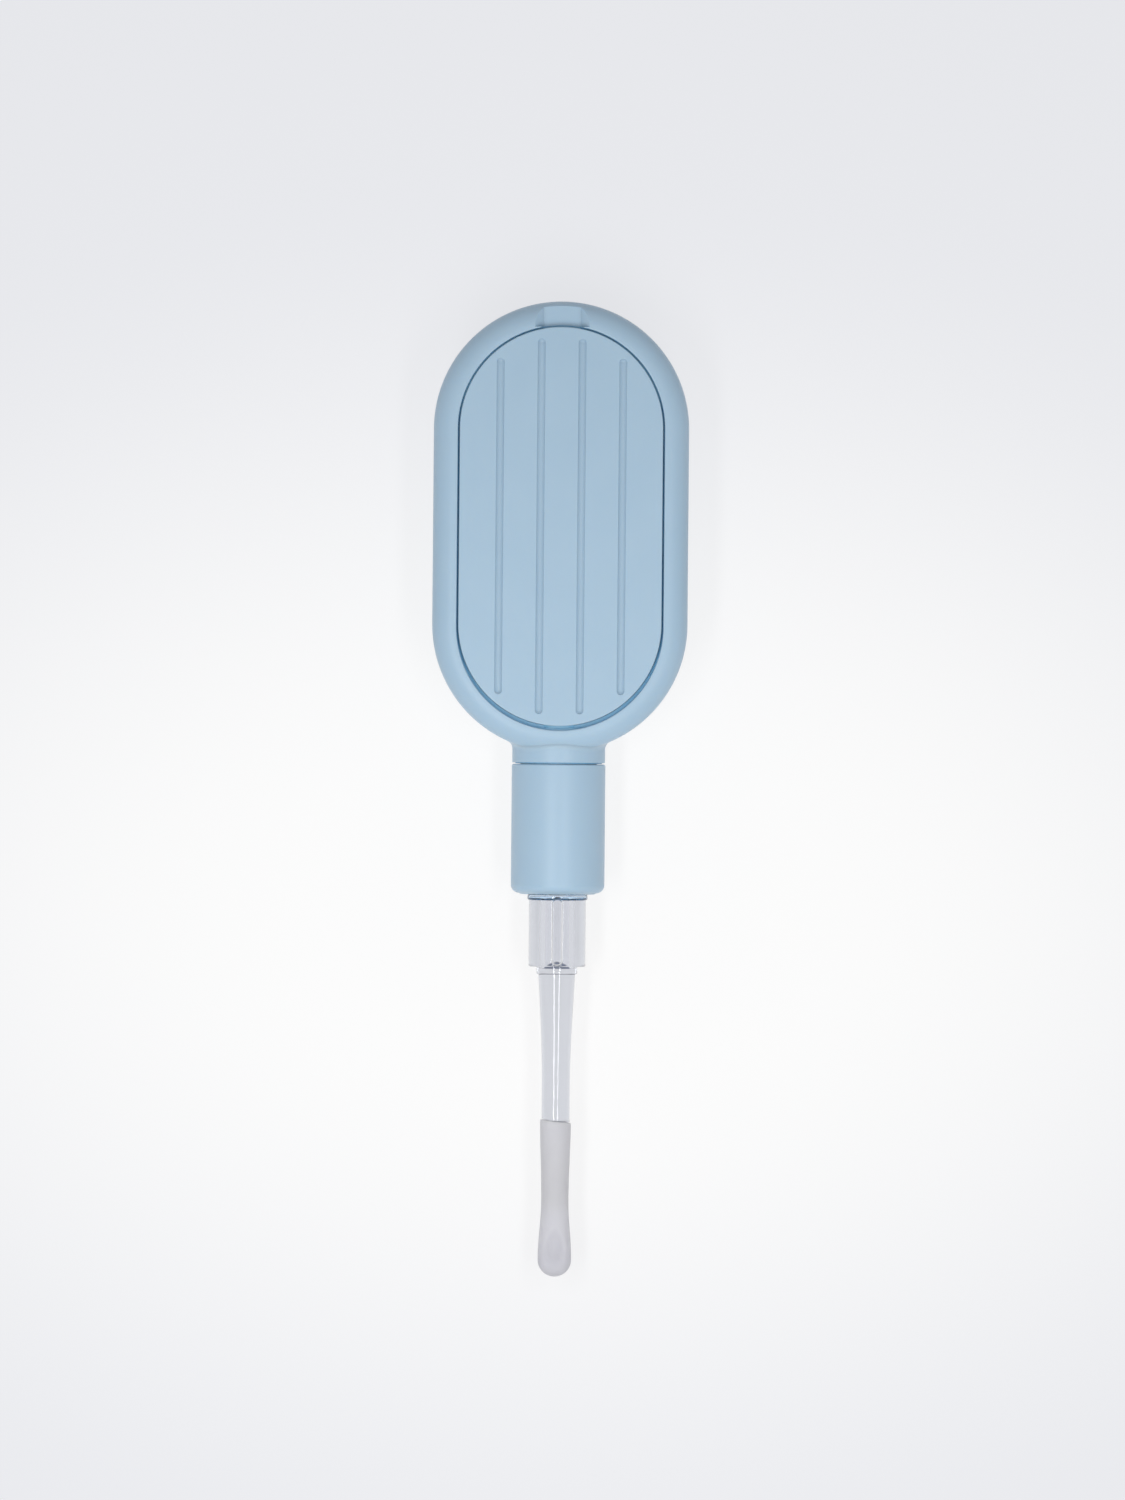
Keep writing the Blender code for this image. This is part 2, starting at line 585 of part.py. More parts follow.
def battery_barrel(surface):
    """Closed tube fixed in the neck: flange and key, ring groove, snap bead, stop lug and rib."""
    bead_y = NECK_END_Y - BEAD_SETBACK
    bead = BARREL_RADIUS + BEAD_HEIGHT
    groove_y = NECK_END_Y - RING_GROOVE_SETBACK
    groove = BARREL_RADIUS - RING_GROOVE_DEPTH
    groove_half = (RING_WIRE + SEAT_CLEARANCE) / 2
    profile = [(0.0, FLANGE_Y), (BARREL_BORE_RADIUS, FLANGE_Y), (BARREL_BORE_RADIUS, BARREL_MOUTH_Y),
               (BARREL_RADIUS, BARREL_MOUTH_Y),
               (BARREL_RADIUS, bead_y - BEAD_WIDTH / 2 - BEAD_HEIGHT),
               (bead, bead_y - BEAD_WIDTH / 2), (bead, bead_y + BEAD_WIDTH / 2),
               (BARREL_RADIUS, bead_y + BEAD_WIDTH / 2 + BEAD_HEIGHT),
               (BARREL_RADIUS, groove_y - groove_half), (groove, groove_y - groove_half),
               (groove, groove_y + groove_half), (BARREL_RADIUS, groove_y + groove_half),
               (BARREL_RADIUS, FLANGE_Y), (FLANGE_RADIUS, FLANGE_Y),
               (FLANGE_RADIUS, BARREL_END_Y), (0.0, BARREL_END_Y)]
    barrel = turned("battery_barrel", profile)
    lug_rear = NECK_END_Y - STOP_LUG_SETBACK
    lug = sector("stop_lug", BARREL_RADIUS - BARREL_WALL / 2, BARREL_RADIUS + STOP_LUG_HEIGHT,
                 90 - STOP_LUG_ANGLE / 2, 90 + STOP_LUG_ANGLE / 2, lug_rear,
                 lug_rear - STOP_LUG_LENGTH, 2)
    inset = (FLANGE_RADIUS - BARREL_RADIUS) / 2
    key = block("flange_key",
                (FLANGE_RADIUS - inset, FLANGE_Y + BARREL_END_WALL / 8,
                 AXIS_Z - FLANGE_KEY_WIDTH / 2),
                (FLANGE_RADIUS + FLANGE_KEY_REACH, BARREL_END_Y - BARREL_END_WALL / 8,
                 AXIS_Z + FLANGE_KEY_WIDTH / 2))
    rib = block("key_rib",
                (HOLDER_BORE_RADIUS + FIT_CLEARANCE, FLANGE_Y - HOLDER_END_GAP - HOLDER_END_WALL,
                 AXIS_Z - KEY_RIB_WIDTH / 2),
                (BARREL_BORE_RADIUS + BARREL_WALL / 2, FLANGE_Y + BARREL_END_WALL / 2,
                 AXIS_Z + KEY_RIB_WIDTH / 2))
    for addition in (lug, key, rib):
        shape_with(barrel, "UNION", addition)
    return finish(barrel, surface)


def collar(surface):
    """Twist collar: bore over the barrel, snap groove, stop slot, switch seat and narrower mouth."""
    bead_y = NECK_END_Y - BEAD_SETBACK
    groove = BARREL_RADIUS + BEAD_HEIGHT + FIT_CLEARANCE
    groove_half = BEAD_WIDTH / 2 + FIT_CLEARANCE
    slope = groove - COLLAR_BORE_RADIUS
    corner = COLLAR_CORNER_RADIUS
    shoulder_y = MOUTH_Y + COLLAR_DOME
    profile = [(COLLAR_RADIUS - SEAM_EDGE, COLLAR_REAR_Y), (COLLAR_RADIUS, COLLAR_REAR_Y - SEAM_EDGE)]
    profile += arc(COLLAR_RADIUS - corner, shoulder_y + corner, corner, 0, -90)
    profile += [(MOUTH_RADIUS + MOUTH_CHAMFER, MOUTH_Y), (MOUTH_RADIUS, MOUTH_Y + MOUTH_CHAMFER),
                (MOUTH_RADIUS, MOUTH_STEP_Y), (COLLAR_BORE_RADIUS, MOUTH_STEP_Y),
                (COLLAR_BORE_RADIUS, bead_y - groove_half - slope), (groove, bead_y - groove_half),
                (groove, bead_y + groove_half), (COLLAR_BORE_RADIUS, bead_y + groove_half + slope),
                (COLLAR_BORE_RADIUS, COLLAR_REAR_Y)]
    body = turned("collar", profile, looped=True)
    lug_front = NECK_END_Y - STOP_LUG_SETBACK - STOP_LUG_LENGTH
    first = 90 - STOP_LUG_ANGLE / 2 - STOP_CLEARANCE_ANGLE
    last = 90 + STOP_LUG_ANGLE / 2 + STOP_CLEARANCE_ANGLE + TWIST_ANGLE
    slot = sector("stop_slot", COLLAR_BORE_RADIUS - BARREL_WALL,
                  BARREL_RADIUS + STOP_LUG_HEIGHT + FIT_CLEARANCE, first, last,
                  NECK_END_Y, lug_front - FIT_CLEARANCE)
    shape_with(body, "DIFFERENCE", slot)
    return finish(body, surface)


def switch_ring(surface):
    """Open bronze ring in the collar; its two dimples meet the edge contacts at full twist."""
    inner = HOLDER_RADIUS + STRIP_BUMP + SWITCH_CLEARANCE + DIMPLE_HEIGHT
    outer = inner + SWITCH_RING_WALL
    start = TWIST_ANGLE - (SWITCH_RING_SPAN - 180) / 2
    dimples = (TWIST_ANGLE, TWIST_ANGLE + 180)
    angles = [start + SWITCH_RING_SPAN * index / 14 for index in range(15)]
    outline = [(outer, angle) for angle in angles]
    inside = [(inner, angle) for angle in angles
              if all(abs(angle - dimple) > DIMPLE_ANGLE for dimple in dimples)]
    for dimple in dimples:
        inside += [(inner, dimple - DIMPLE_ANGLE), (inner - DIMPLE_HEIGHT, dimple - DIMPLE_ANGLE / 2),
                   (inner - DIMPLE_HEIGHT, dimple + DIMPLE_ANGLE / 2), (inner, dimple + DIMPLE_ANGLE)]
    outline += sorted(inside, key=lambda point: -point[1])
    ring = loft("switch_ring", [sector_ring(outline, SWITCH_REAR_Y), sector_ring(outline, SWITCH_FRONT_Y)])
    return finish(ring, surface)


def battery_holder(surface):
    """Cradle for the cells: open on one side to load them, slotted on the other for the strip."""
    front = CARRIER_REAR_Y + FIT_CLEARANCE
    end_wall_y = HOLDER_REAR_Y - HOLDER_END_WALL
    reach = 2 * HOLDER_RADIUS
    holder = turned("battery_holder", [(0.0, end_wall_y), (HOLDER_BORE_RADIUS, end_wall_y),
                                       (HOLDER_BORE_RADIUS, front), (HOLDER_RADIUS, front),
                                       (HOLDER_RADIUS, HOLDER_REAR_Y), (0.0, HOLDER_REAR_Y)])
    window = block("cell_window", (HOLDER_LIP, front + HOLDER_FRONT_RING, AXIS_Z - reach),
                   (reach, end_wall_y - HOLDER_FRONT_RING, AXIS_Z + reach))
    strip_half = STRIP_WIDTH / 2 + SEAT_CLEARANCE
    strip_slot = block("strip_slot", (-reach, front - HOLDER_WALL, AXIS_Z - strip_half),
                       (-CELL_RADIUS, end_wall_y, AXIS_Z + strip_half))
    rib_half = KEY_RIB_WIDTH / 2 + FIT_CLEARANCE
    rib_slot = block("rib_slot", (HOLDER_BORE_RADIUS - HOLDER_WALL, end_wall_y - FIT_CLEARANCE * 2,
                                  AXIS_Z - rib_half),
                     (reach, FLANGE_Y, AXIS_Z + rib_half))
    for space in (window, strip_slot, rib_slot):
        shape_with(holder, "DIFFERENCE", space)
    return finish(holder, surface)


def cell(index, surface):
    """Button cell: its wide can faces the lamp, its smaller cap the spring."""
    rear = CELLS_REAR_Y - index * CELL_PITCH
    step = rear - CELL_CAP_HEIGHT
    front = rear - CELL_HEIGHT
    edge = CELL_CAP_HEIGHT / 2
    profile = [(0.0, rear), (CELL_CAP_RADIUS, rear), (CELL_CAP_RADIUS, step),
               (CELL_RADIUS - edge, step), (CELL_RADIUS, step - edge), (CELL_RADIUS, front + edge),
               (CELL_RADIUS - edge, front), (0.0, front)]
    return finish(turned(f"cell_{index + 1}", profile, INNER_STEPS), surface)


def wire(name, points, radius, surface):
    """Round wire of one unbroken run through the points, with closed ends."""
    curve = bpy.data.curves.new(name, "CURVE")
    curve.dimensions = "3D"
    curve.bevel_depth = radius
    curve.bevel_resolution = 1
    curve.use_fill_caps = True
    spline = curve.splines.new("POLY")
    spline.points.add(len(points) - 1)
    for point, place in zip(spline.points, points):
        point.co = (*place, 1.0)
    thing = bpy.data.objects.new(name, curve)
    bpy.context.scene.collection.objects.link(thing)
    return finish(thing, surface)


def spring_points():
    """Centre line of the conical spring, with a straight end square to each seat."""
    steps = round(SPRING_TURNS * 10)
    rear = SPRING_REAR_Y - SPRING_WIRE
    fall = SPRING_HEIGHT - 2 * SPRING_WIRE
    points = [(SPRING_BASE_RADIUS, SPRING_REAR_Y, AXIS_Z)]
    for index in range(steps + 1):
        share = index / steps
        angle = 2 * math.pi * SPRING_TURNS * share
        radius = SPRING_BASE_RADIUS + (SPRING_TOP_RADIUS - SPRING_BASE_RADIUS) * share
        points.append((radius * math.cos(angle), rear - fall * share, AXIS_Z + radius * math.sin(angle)))
    last = points[-1]
    points.append((last[0], SPRING_REAR_Y - SPRING_HEIGHT, last[2]))
    return points


def least_self_gap(points, diameter, nearest=5):
    """Least clear distance between stretches of a wire that lie some points apart."""
    distances = [math.dist(points[first], points[second])
                 for first in range(len(points))
                 for second in range(first + nearest, len(points))]
    return min(distances) - diameter


def contact_spring(surface):
    """Conical spring that presses the cells forward onto the lamp's contact."""
    points = spring_points()
    print(f"contact_spring self gap {least_self_gap(points, SPRING_WIRE) / MM:.2f} mm")
    return wire("contact_spring", points, SPRING_WIRE / 2, surface)


def contact_disc(name, rear, thickness, surface):
    """Sheet metal contact that lies across the cells."""
    front = rear - thickness
    return finish(turned(name, [(0.0, rear), (CELL_RADIUS, rear), (CELL_RADIUS, front), (0.0, front)],
                         INNER_STEPS), surface)


def contact_strip(surface):
    """Return contact along the holder, with a bump at the carrier for the switch ring."""
    outer = -(HOLDER_RADIUS - CELL_GAP)
    front = CARRIER_FRONT_Y + FIT_CLEARANCE
    strip = block("contact_strip", (outer, front, AXIS_Z - STRIP_WIDTH / 2),
                  (outer + CONTACT_THICKNESS, SEAT_DISC_REAR_Y - SEAT_DISC_THICKNESS / 2,
                   AXIS_Z + STRIP_WIDTH / 2))
    bump = block("strip_bump", (-(HOLDER_RADIUS + STRIP_BUMP), front + CONTACT_THICKNESS,
                                AXIS_Z - STRIP_WIDTH / 3),
                 (outer + CONTACT_THICKNESS / 2, front + CONTACT_THICKNESS + STRIP_WIDTH / 2,
                  AXIS_Z + STRIP_WIDTH / 3))
    shape_with(strip, "UNION", bump)
    return finish(strip, surface)


def peg(name, across, radius, rear, front):
    """Round bar along Y beside the long axis, used to drill the lead holes."""
    rings = []
    for y in (rear, front):
        rings.append([(across + x, y, z) for x, _, z in oval(radius, radius, y, 12)])
    return loft(name, rings)


def led_carrier(surface):
    """Front disc of the cartridge with the lead holes, the strip's slot and the lamp's nose."""
    groove = NOSE_RING_RADIUS - NOSE_RING_WIRE / 2 - RING_SLACK
    groove_y = CARRIER_FRONT_Y - NOSE_RING_SETBACK
    groove_half = NOSE_RING_WIRE / 2 + SEAT_CLEARANCE / 2
    edge = SEAM_EDGE
    carrier = turned("led_carrier", [
        (0.0, CARRIER_REAR_Y), (HOLDER_RADIUS - edge, CARRIER_REAR_Y),
        (HOLDER_RADIUS, CARRIER_REAR_Y - edge), (HOLDER_RADIUS, CARRIER_FRONT_Y),
        (NOSE_RADIUS, CARRIER_FRONT_Y), (NOSE_RADIUS, groove_y + groove_half),
        (groove, groove_y + groove_half), (groove, groove_y - groove_half),
        (NOSE_RADIUS, groove_y - groove_half), (NOSE_RADIUS, NOSE_END_Y),
        (NOSE_BORE_RADIUS, NOSE_END_Y), (NOSE_BORE_RADIUS, CARRIER_FRONT_Y), (0.0, CARRIER_FRONT_Y)],
        INNER_STEPS)
    hole = LEAD_RADIUS + FIT_CLEARANCE
    rear = CARRIER_REAR_Y + CARRIER_THICKNESS
    front = CARRIER_FRONT_Y - CARRIER_THICKNESS / 4
    spaces = [peg(f"lead_hole_{side}", side * LEAD_SPACING / 2, hole, rear, front) for side in (-1, 1)]
    spaces.append(block("lead_channel", (LEAD_SPACING / 2, CARRIER_REAR_Y - LEAD_CHANNEL_DEPTH,
                                         AXIS_Z - hole),
                        (2 * HOLDER_RADIUS, rear, AXIS_Z + hole)))
    strip_half = STRIP_WIDTH / 2 + SEAT_CLEARANCE
    spaces.append(block("strip_notch", (-2 * HOLDER_RADIUS, CARRIER_FRONT_Y - SEAM_EDGE,
                                        AXIS_Z - strip_half),
                        (-CELL_RADIUS, rear, AXIS_Z + strip_half)))
    for space in spaces:
        shape_with(carrier, "DIFFERENCE", space)
    return finish(carrier, surface)


def led_contact_stud(surface):
    """Edge contact in the carrier's channel, opposite the strip's bump."""
    half = LEAD_RADIUS + FIT_CLEARANCE - SEAT_CLEARANCE / 2
    middle = CARRIER_REAR_Y - LEAD_CHANNEL_DEPTH / 2
    inner = HOLDER_RADIUS - 2 * CONTACT_THICKNESS
    return finish(block("led_contact_stud", (inner, middle - half, AXIS_Z - half),
                        (HOLDER_RADIUS + STRIP_BUMP, middle + half, AXIS_Z + half)), surface)


def led(surface):
    """Round lamp with a flange and a domed end."""
    rear = CARRIER_FRONT_Y - CELL_GAP
    flange_front = rear - LED_FLANGE_HEIGHT
    tip = rear - LED_LENGTH
    profile = [(0.0, rear), (LED_FLANGE_RADIUS, rear), (LED_FLANGE_RADIUS, flange_front),
               (LED_RADIUS, flange_front)]
    profile += arc(0.0, tip + LED_RADIUS, LED_RADIUS, 0, -90)[:-1] + [(0.0, tip)]
    return finish(turned("led", profile, INNER_STEPS), surface)


def led_leads(surface):
    """Two lamp leads: one straight to the positive contact, one bent out to the edge contact."""
    start = CARRIER_FRONT_Y - CELL_GAP / 4
    across = LEAD_SPACING / 2
    bend = 2 * LEAD_RADIUS
    channel_y = CARRIER_REAR_Y - LEAD_CHANNEL_DEPTH / 2
    straight_end = CONTACT_FRONT_Y - FIT_CLEARANCE
    straight = wire("led_lead_positive", [(-across, start, AXIS_Z), (-across, straight_end, AXIS_Z)],
                    LEAD_RADIUS, surface)
    points = [(across, start, AXIS_Z)]
    points += [(x, y, AXIS_Z) for x, y in arc(across + bend, channel_y - bend, bend, 180, 90)]
    points.append((HOLDER_RADIUS - 2 * CONTACT_THICKNESS - FIT_CLEARANCE, channel_y, AXIS_Z))
    return straight, wire("led_lead_negative", points, LEAD_RADIUS, surface)


def pick_stem(surface):
    """Clear pick: plug with stepped lamp pocket, flared mouth, keyed socket, stem and thin core."""
    pocket_end = SOCKET_END_Y + POCKET_END_WALL
    edge = MOUTH_CHAMFER
    flare = PLUG_RADIUS - SOCKET_RADIUS
    profile = [(0.0, pocket_end)]
    profile += [(LAMP_BORE_RADIUS * math.sin(turn), pocket_end + POCKET_DOME * (1 - math.cos(turn)))
                for turn in (math.pi / 8, math.pi / 4, 3 * math.pi / 8, math.pi / 2)]
    pocket_foot = NOSE_END_Y - NOSE_SEAT_GAP
    profile += [(LAMP_BORE_RADIUS, pocket_foot - edge), (LAMP_BORE_RADIUS + edge, pocket_foot),
                (POCKET_RADIUS, pocket_foot), (POCKET_RADIUS, PLUG_END_Y), (PLUG_RADIUS - edge, PLUG_END_Y),
                (PLUG_RADIUS, PLUG_END_Y - edge), (PLUG_RADIUS, MOUTH_Y)]
    profile += [(SOCKET_RADIUS + flare * (1 - math.sin(turn)), MOUTH_Y - CONE_LENGTH * (1 - math.cos(turn)))
                for turn in (math.pi / 8, math.pi / 4, 3 * math.pi / 8, math.pi / 2)]
    profile += arc(SOCKET_RADIUS - SHOULDER_RADIUS, SOCKET_END_Y + SHOULDER_RADIUS, SHOULDER_RADIUS,
                   0, -90, 4)
    profile += [(STEP_RING_RADIUS, SOCKET_END_Y), (STEP_RING_RADIUS, STEP_RING_END_Y),
                (STEM_TOP_RADIUS, STEP_RING_END_Y)]
    for share in (0.25, 0.5, 0.75, 1.0):
        bow = math.sin(share * math.pi / 2)
        profile.append((STEM_TOP_RADIUS + (STEM_END_RADIUS - STEM_TOP_RADIUS) * bow,
                        STEP_RING_END_Y - STEM_TAPER_LENGTH * share))
    profile += [(STEM_END_RADIUS, STEM_END_Y), (CORE_RADIUS, STEM_END_Y)]
    core_end = STEM_END_Y - CORE_LENGTH
    profile += arc(0.0, core_end + CORE_RADIUS, CORE_RADIUS, 0, -90, 4)[:-1] + [(0.0, core_end)]
    stem = turned("pick_stem", profile)
    keyway_low = SOCKET_END_Y + SHOULDER_RADIUS + KEYWAY_WIDTH / 2
    keyway = loft("keyway_space", [capsule(0.0, keyway_low, CONE_END_Y, KEYWAY_WIDTH / 2, z, 8)
                                   for z in (AXIS_Z + SOCKET_RADIUS - KEYWAY_DEPTH,
                                             AXIS_Z + 2 * SOCKET_RADIUS)])
    shape_with(stem, "DIFFERENCE", keyway)
    return finish(stem, surface)


def sleeve_width(distance):
    """Half width of the soft tip at a distance below its open end."""
    bulge_place = SLEEVE_LENGTH - SLEEVE_BULGE_RADIUS
    if distance < SLEEVE_WAIST_PLACE:
        blend = (1 - math.cos(math.pi * distance / SLEEVE_WAIST_PLACE)) / 2
        return SLEEVE_TOP_RADIUS + (SLEEVE_WAIST_RADIUS - SLEEVE_TOP_RADIUS) * blend
    share = (distance - SLEEVE_WAIST_PLACE) / (bulge_place - SLEEVE_WAIST_PLACE)
    blend = (1 - math.cos(math.pi * share)) / 2
    return SLEEVE_WAIST_RADIUS + (SLEEVE_BULGE_RADIUS - SLEEVE_WAIST_RADIUS) * blend


def tip_sleeve(surface):
    """Soft tip: waisted sleeve over the core, flattening into a rounded spoon with a scoop."""
    bore = CORE_RADIUS + SLEEVE_BORE_CLEARANCE
    bore_end = STEM_END_Y - CORE_LENGTH - SLEEVE_BORE_CLEARANCE
    edge = SLEEVE_BORE_CLEARANCE
    bulge_place = SLEEVE_LENGTH - SLEEVE_BULGE_RADIUS
    flattening = SLEEVE_BULGE_HALF_THICKNESS / SLEEVE_BULGE_RADIUS
    sections = [(0.0, 0.0, bore_end), (bore, bore, bore_end + bore / 2), (bore, bore, SLEEVE_TOP_Y),
                (SLEEVE_TOP_RADIUS - edge, SLEEVE_TOP_RADIUS - edge, SLEEVE_TOP_Y)]
    distances = [edge + (bulge_place - edge) * index / 14 for index in range(15)]
    for distance in distances:
        width = sleeve_width(distance)
        share = max(0.0, distance - SLEEVE_WAIST_PLACE) / (bulge_place - SLEEVE_WAIST_PLACE)
        height = width * (1 + (flattening - 1) * (1 - math.cos(math.pi * share)) / 2)
        sections.append((width, height, SLEEVE_TOP_Y - distance))
    for width, y in arc(0.0, TIP_Y + SLEEVE_BULGE_RADIUS, SLEEVE_BULGE_RADIUS, 0, -90, 7)[1:-1]:
        sections.append((width, width * flattening, y))
    sections.append((0.0, 0.0, TIP_Y))
    sleeve = loft("tip_sleeve", [oval(width, height, y, TIP_STEPS) for width, height, y in sections])
    face = AXIS_Z + SLEEVE_BULGE_HALF_THICKNESS
    middle = TIP_Y + SCOOP_SETBACK + SCOOP_LENGTH / 2
    rings = [[(0.0, middle, face - SCOOP_DEPTH)]]
    for angle in (22.5, 45.0, 67.5, 90.0):
        reach = math.sin(math.radians(angle))
        z = face - SCOOP_DEPTH * math.cos(math.radians(angle))
        rings.append([(reach * SCOOP_WIDTH / 2 * math.cos(2 * math.pi * index / 20),
                       middle + reach * SCOOP_LENGTH / 2 * math.sin(2 * math.pi * index / 20), z)
                      for index in range(20)])
    rings.append([(x, y, z + SCOOP_DEPTH) for x, y, z in rings[-1]])
    shape_with(sleeve, "DIFFERENCE", loft("scoop_space", rings))
    return finish(sleeve, surface)


def joint_axis(name, place, carrier=None):
    """Empty on a joint's axis; what it carries keeps its place in the part."""
    axis = bpy.data.objects.new(name, None)
    axis.empty_display_size = AXIS_DISPLAY_SIZE
    bpy.context.scene.collection.objects.link(axis)
    axis["place"] = place
    axis.location = place
    if carrier:
        axis.parent = carrier
        axis.location = Vector(place) - Vector(carrier["place"])
    return axis


def carry(axis, things):
    """Hang pieces, and the guides that shape them, on a joint's axis."""
    for thing in things:
        thing.data.transform(Matrix.Translation(-Vector(axis["place"])))
        thing.parent = axis
        carry(axis, [modifier.object for modifier in thing.modifiers])


def main():
    for thing in list(bpy.data.objects):
        bpy.data.objects.remove(thing)
    blue = material("pale_blue_case_plastic", (0.44, 0.59, 0.73), 0.42)
    white = material("white_moulded_plastic", (0.75, 0.75, 0.74), 0.45)
    steel = material("nickel_plated_steel", (0.62, 0.61, 0.58), 0.28, metallic=1.0)
    bronze = material("phosphor_bronze", (0.72, 0.44, 0.24), 0.32, metallic=1.0)
    rubber = material("black_rubber", (0.02, 0.02, 0.02), 0.75)
    clear = material("clear_acrylic", (0.92, 0.94, 0.97), 0.06, transmission=1.0)
    silicone = material("grey_silicone", (0.60, 0.60, 0.62), 0.55, transmission=0.3)

    spaces = barrel_space()
    rear_shell(blue, spaces)
    front_shell(blue, spaces)
    battery_barrel(white)
    barrel_ring_radius = BARREL_RADIUS - RING_GROOVE_DEPTH + RING_WIRE / 2 + RING_SLACK
    seal_ring("collar_o_ring", barrel_ring_radius, NECK_END_Y - RING_GROOVE_SETBACK, RING_WIRE, rubber)

    lid_axis = joint_axis("lid_hinge_axis", (0.0, HINGE_Y, HINGE_Z))
    carry(lid_axis, [lid(blue)])
    collar_axis = joint_axis("collar_axis", (0.0, COLLAR_REAR_Y, AXIS_Z))
    carry(collar_axis, [collar(blue), switch_ring(bronze)])

    cartridge_axis = joint_axis("cartridge_slide_axis", (0.0, HOLDER_REAR_Y, AXIS_Z))
    cartridge = [battery_holder(white), contact_disc("spring_seat", SEAT_DISC_REAR_Y,
                                                     SEAT_DISC_THICKNESS, steel),
                 contact_spring(steel), contact_strip(bronze), led_carrier(white),
                 contact_disc("positive_contact", CELLS_FRONT_Y, CONTACT_THICKNESS, steel),
                 led_contact_stud(bronze), led(clear), *led_leads(steel),
                 seal_ring("nose_o_ring", NOSE_RING_RADIUS, CARRIER_FRONT_Y - NOSE_RING_SETBACK,
                           NOSE_RING_WIRE, rubber)]
    cartridge += [cell(index, steel) for index in range(CELL_COUNT)]
    carry(cartridge_axis, cartridge)

    pick_axis = joint_axis("pick_slide_axis", (0.0, MOUTH_Y, AXIS_Z), cartridge_axis)
    carry(pick_axis, [pick_stem(clear)])
    tip_axis = joint_axis("tip_slide_axis", (0.0, SLEEVE_TOP_Y, AXIS_Z), pick_axis)
    carry(tip_axis, [tip_sleeve(silicone)])


main()
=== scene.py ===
"""Looks of the lighted ear pick: fine surfaces, finishes, floor, soft light and camera.

Lengths are in metres in the model's own frame: +Y runs along the pick towards the handle's end,
+X across it and +Z out of its front, and it lies on its back at z = 0.
"""

import math

import bmesh
import bpy
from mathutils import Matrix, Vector


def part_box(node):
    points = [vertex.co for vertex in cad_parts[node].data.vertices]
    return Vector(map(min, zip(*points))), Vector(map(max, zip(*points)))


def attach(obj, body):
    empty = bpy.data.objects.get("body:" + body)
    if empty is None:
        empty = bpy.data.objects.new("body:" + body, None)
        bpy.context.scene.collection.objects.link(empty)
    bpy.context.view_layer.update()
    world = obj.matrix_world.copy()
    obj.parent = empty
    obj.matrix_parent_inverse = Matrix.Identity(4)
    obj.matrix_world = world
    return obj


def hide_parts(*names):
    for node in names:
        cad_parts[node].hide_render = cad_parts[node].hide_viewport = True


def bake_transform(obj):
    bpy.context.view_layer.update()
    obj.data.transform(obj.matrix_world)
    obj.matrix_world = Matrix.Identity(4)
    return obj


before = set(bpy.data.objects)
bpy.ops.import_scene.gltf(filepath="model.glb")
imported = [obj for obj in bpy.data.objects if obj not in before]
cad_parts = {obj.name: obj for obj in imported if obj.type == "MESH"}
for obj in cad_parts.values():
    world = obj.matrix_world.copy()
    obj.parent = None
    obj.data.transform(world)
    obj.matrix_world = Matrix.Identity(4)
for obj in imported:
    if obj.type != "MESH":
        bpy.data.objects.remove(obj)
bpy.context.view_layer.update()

MM = 0.001

# Camera straight above, as in the photograph: 1500 pixels take in this length at half thickness
VIEW_LENGTH = 200.25 * MM
CAMERA_RISE = 1500.0 * MM
CAMERA_X = 0.50 * MM
CAMERA_Y = 5.30 * MM
CAMERA_ROLL = 0.5
SENSOR_SIZE = 36.0

# Smoothness of the fine surfaces: steps round the case, a turned piece, a quarter or less of a
# turn from large to fine, and the small parts
OUTLINE_STEPS = 192
TURN_STEPS = 144
DOME_STEPS = 24
CORNER_STEPS = 16
MOUTH_STEPS = 12
ARC_STEPS = 10
ROUND_STEPS = 8
EDGE_STEPS = 6
LIP_STEPS = 5
FINE_STEPS = 4
OPENING_END_STEPS = 96
GROOVE_END_STEPS = 16
RING_STEPS = 24
BEAD_STEPS = 12
HOLE_STEPS = 32
LAMP_STEPS = 48
POST_STEPS = 24
COIL_STEPS = 48
WIRE_STEPS = 16
SHARP_ANGLE = 32.0
SOFT_ANGLE = 60.0
ROUND_ANGLE = 180.0
MERGE_DISTANCE = 0.002 * MM

# Floor: a disc under the object with a painted pool of light, white round it and grey further out
FLOOR_RADIUS = 2.5
FLOOR_GAP = 0.02 * MM
PAINTED_POOL_MIDDLE = (0.0, 14.8 * MM, 0.0)
PAINTED_POOL_SQUEEZE = 0.62
PAINTED_POOL_WHITE_REACH = 20.0 * MM
PAINTED_POOL_GREY_REACH = 98.0 * MM
PAINTED_POOL_WHITE = "fefefe"
PAINTED_POOL_GREY = "edeef2"
FLOOR_GLOW = 0.82

# Light: sky strength, and strip lamps as name, x and power, with one place, aim and size
SKY_WHITE = "ffffff"
SKY_LIGHT = 0.38
LAMPS = (("left_strip", -0.063, 0.181), ("right_strip", 0.063, 0.137))
LAMP_Y = -0.055
LAMP_Z = 0.22
LAMP_AIM = (0.0, -0.01, 0.007)
LAMP_SIZE = (0.028, 0.18)

# Noise mostly lies between these values, which are stretched over a material's own range
NOISE_LOW = 0.3
NOISE_HIGH = 0.7
EVEN = (1.0, 1.0, 1.0)

# Case plastic: its tones, and painted shade by how open to light a place is: darker in the grip
# grooves and deep blue in the seams
CASE_BLUE_DEEP = "abc8de"
CASE_BLUE = "b0cce1"
PAINTED_GROOVE_SHADE = "ecebeb"
PAINTED_SEAM_SHADE_BLUE = "8ac9e8"
PAINTED_CAVITY_SHADE_REACH = 0.8 * MM
PAINTED_CAVITY_SHADE_SAMPLES = 8
PAINTED_GROOVE_SHADE_RANGE = (0.80, 0.96)
PAINTED_SEAM_SHADE_RANGE = (0.30, 0.70)
HANDLED_SIZE = 18.0 * MM
HANDLED_SPREAD = 0.03
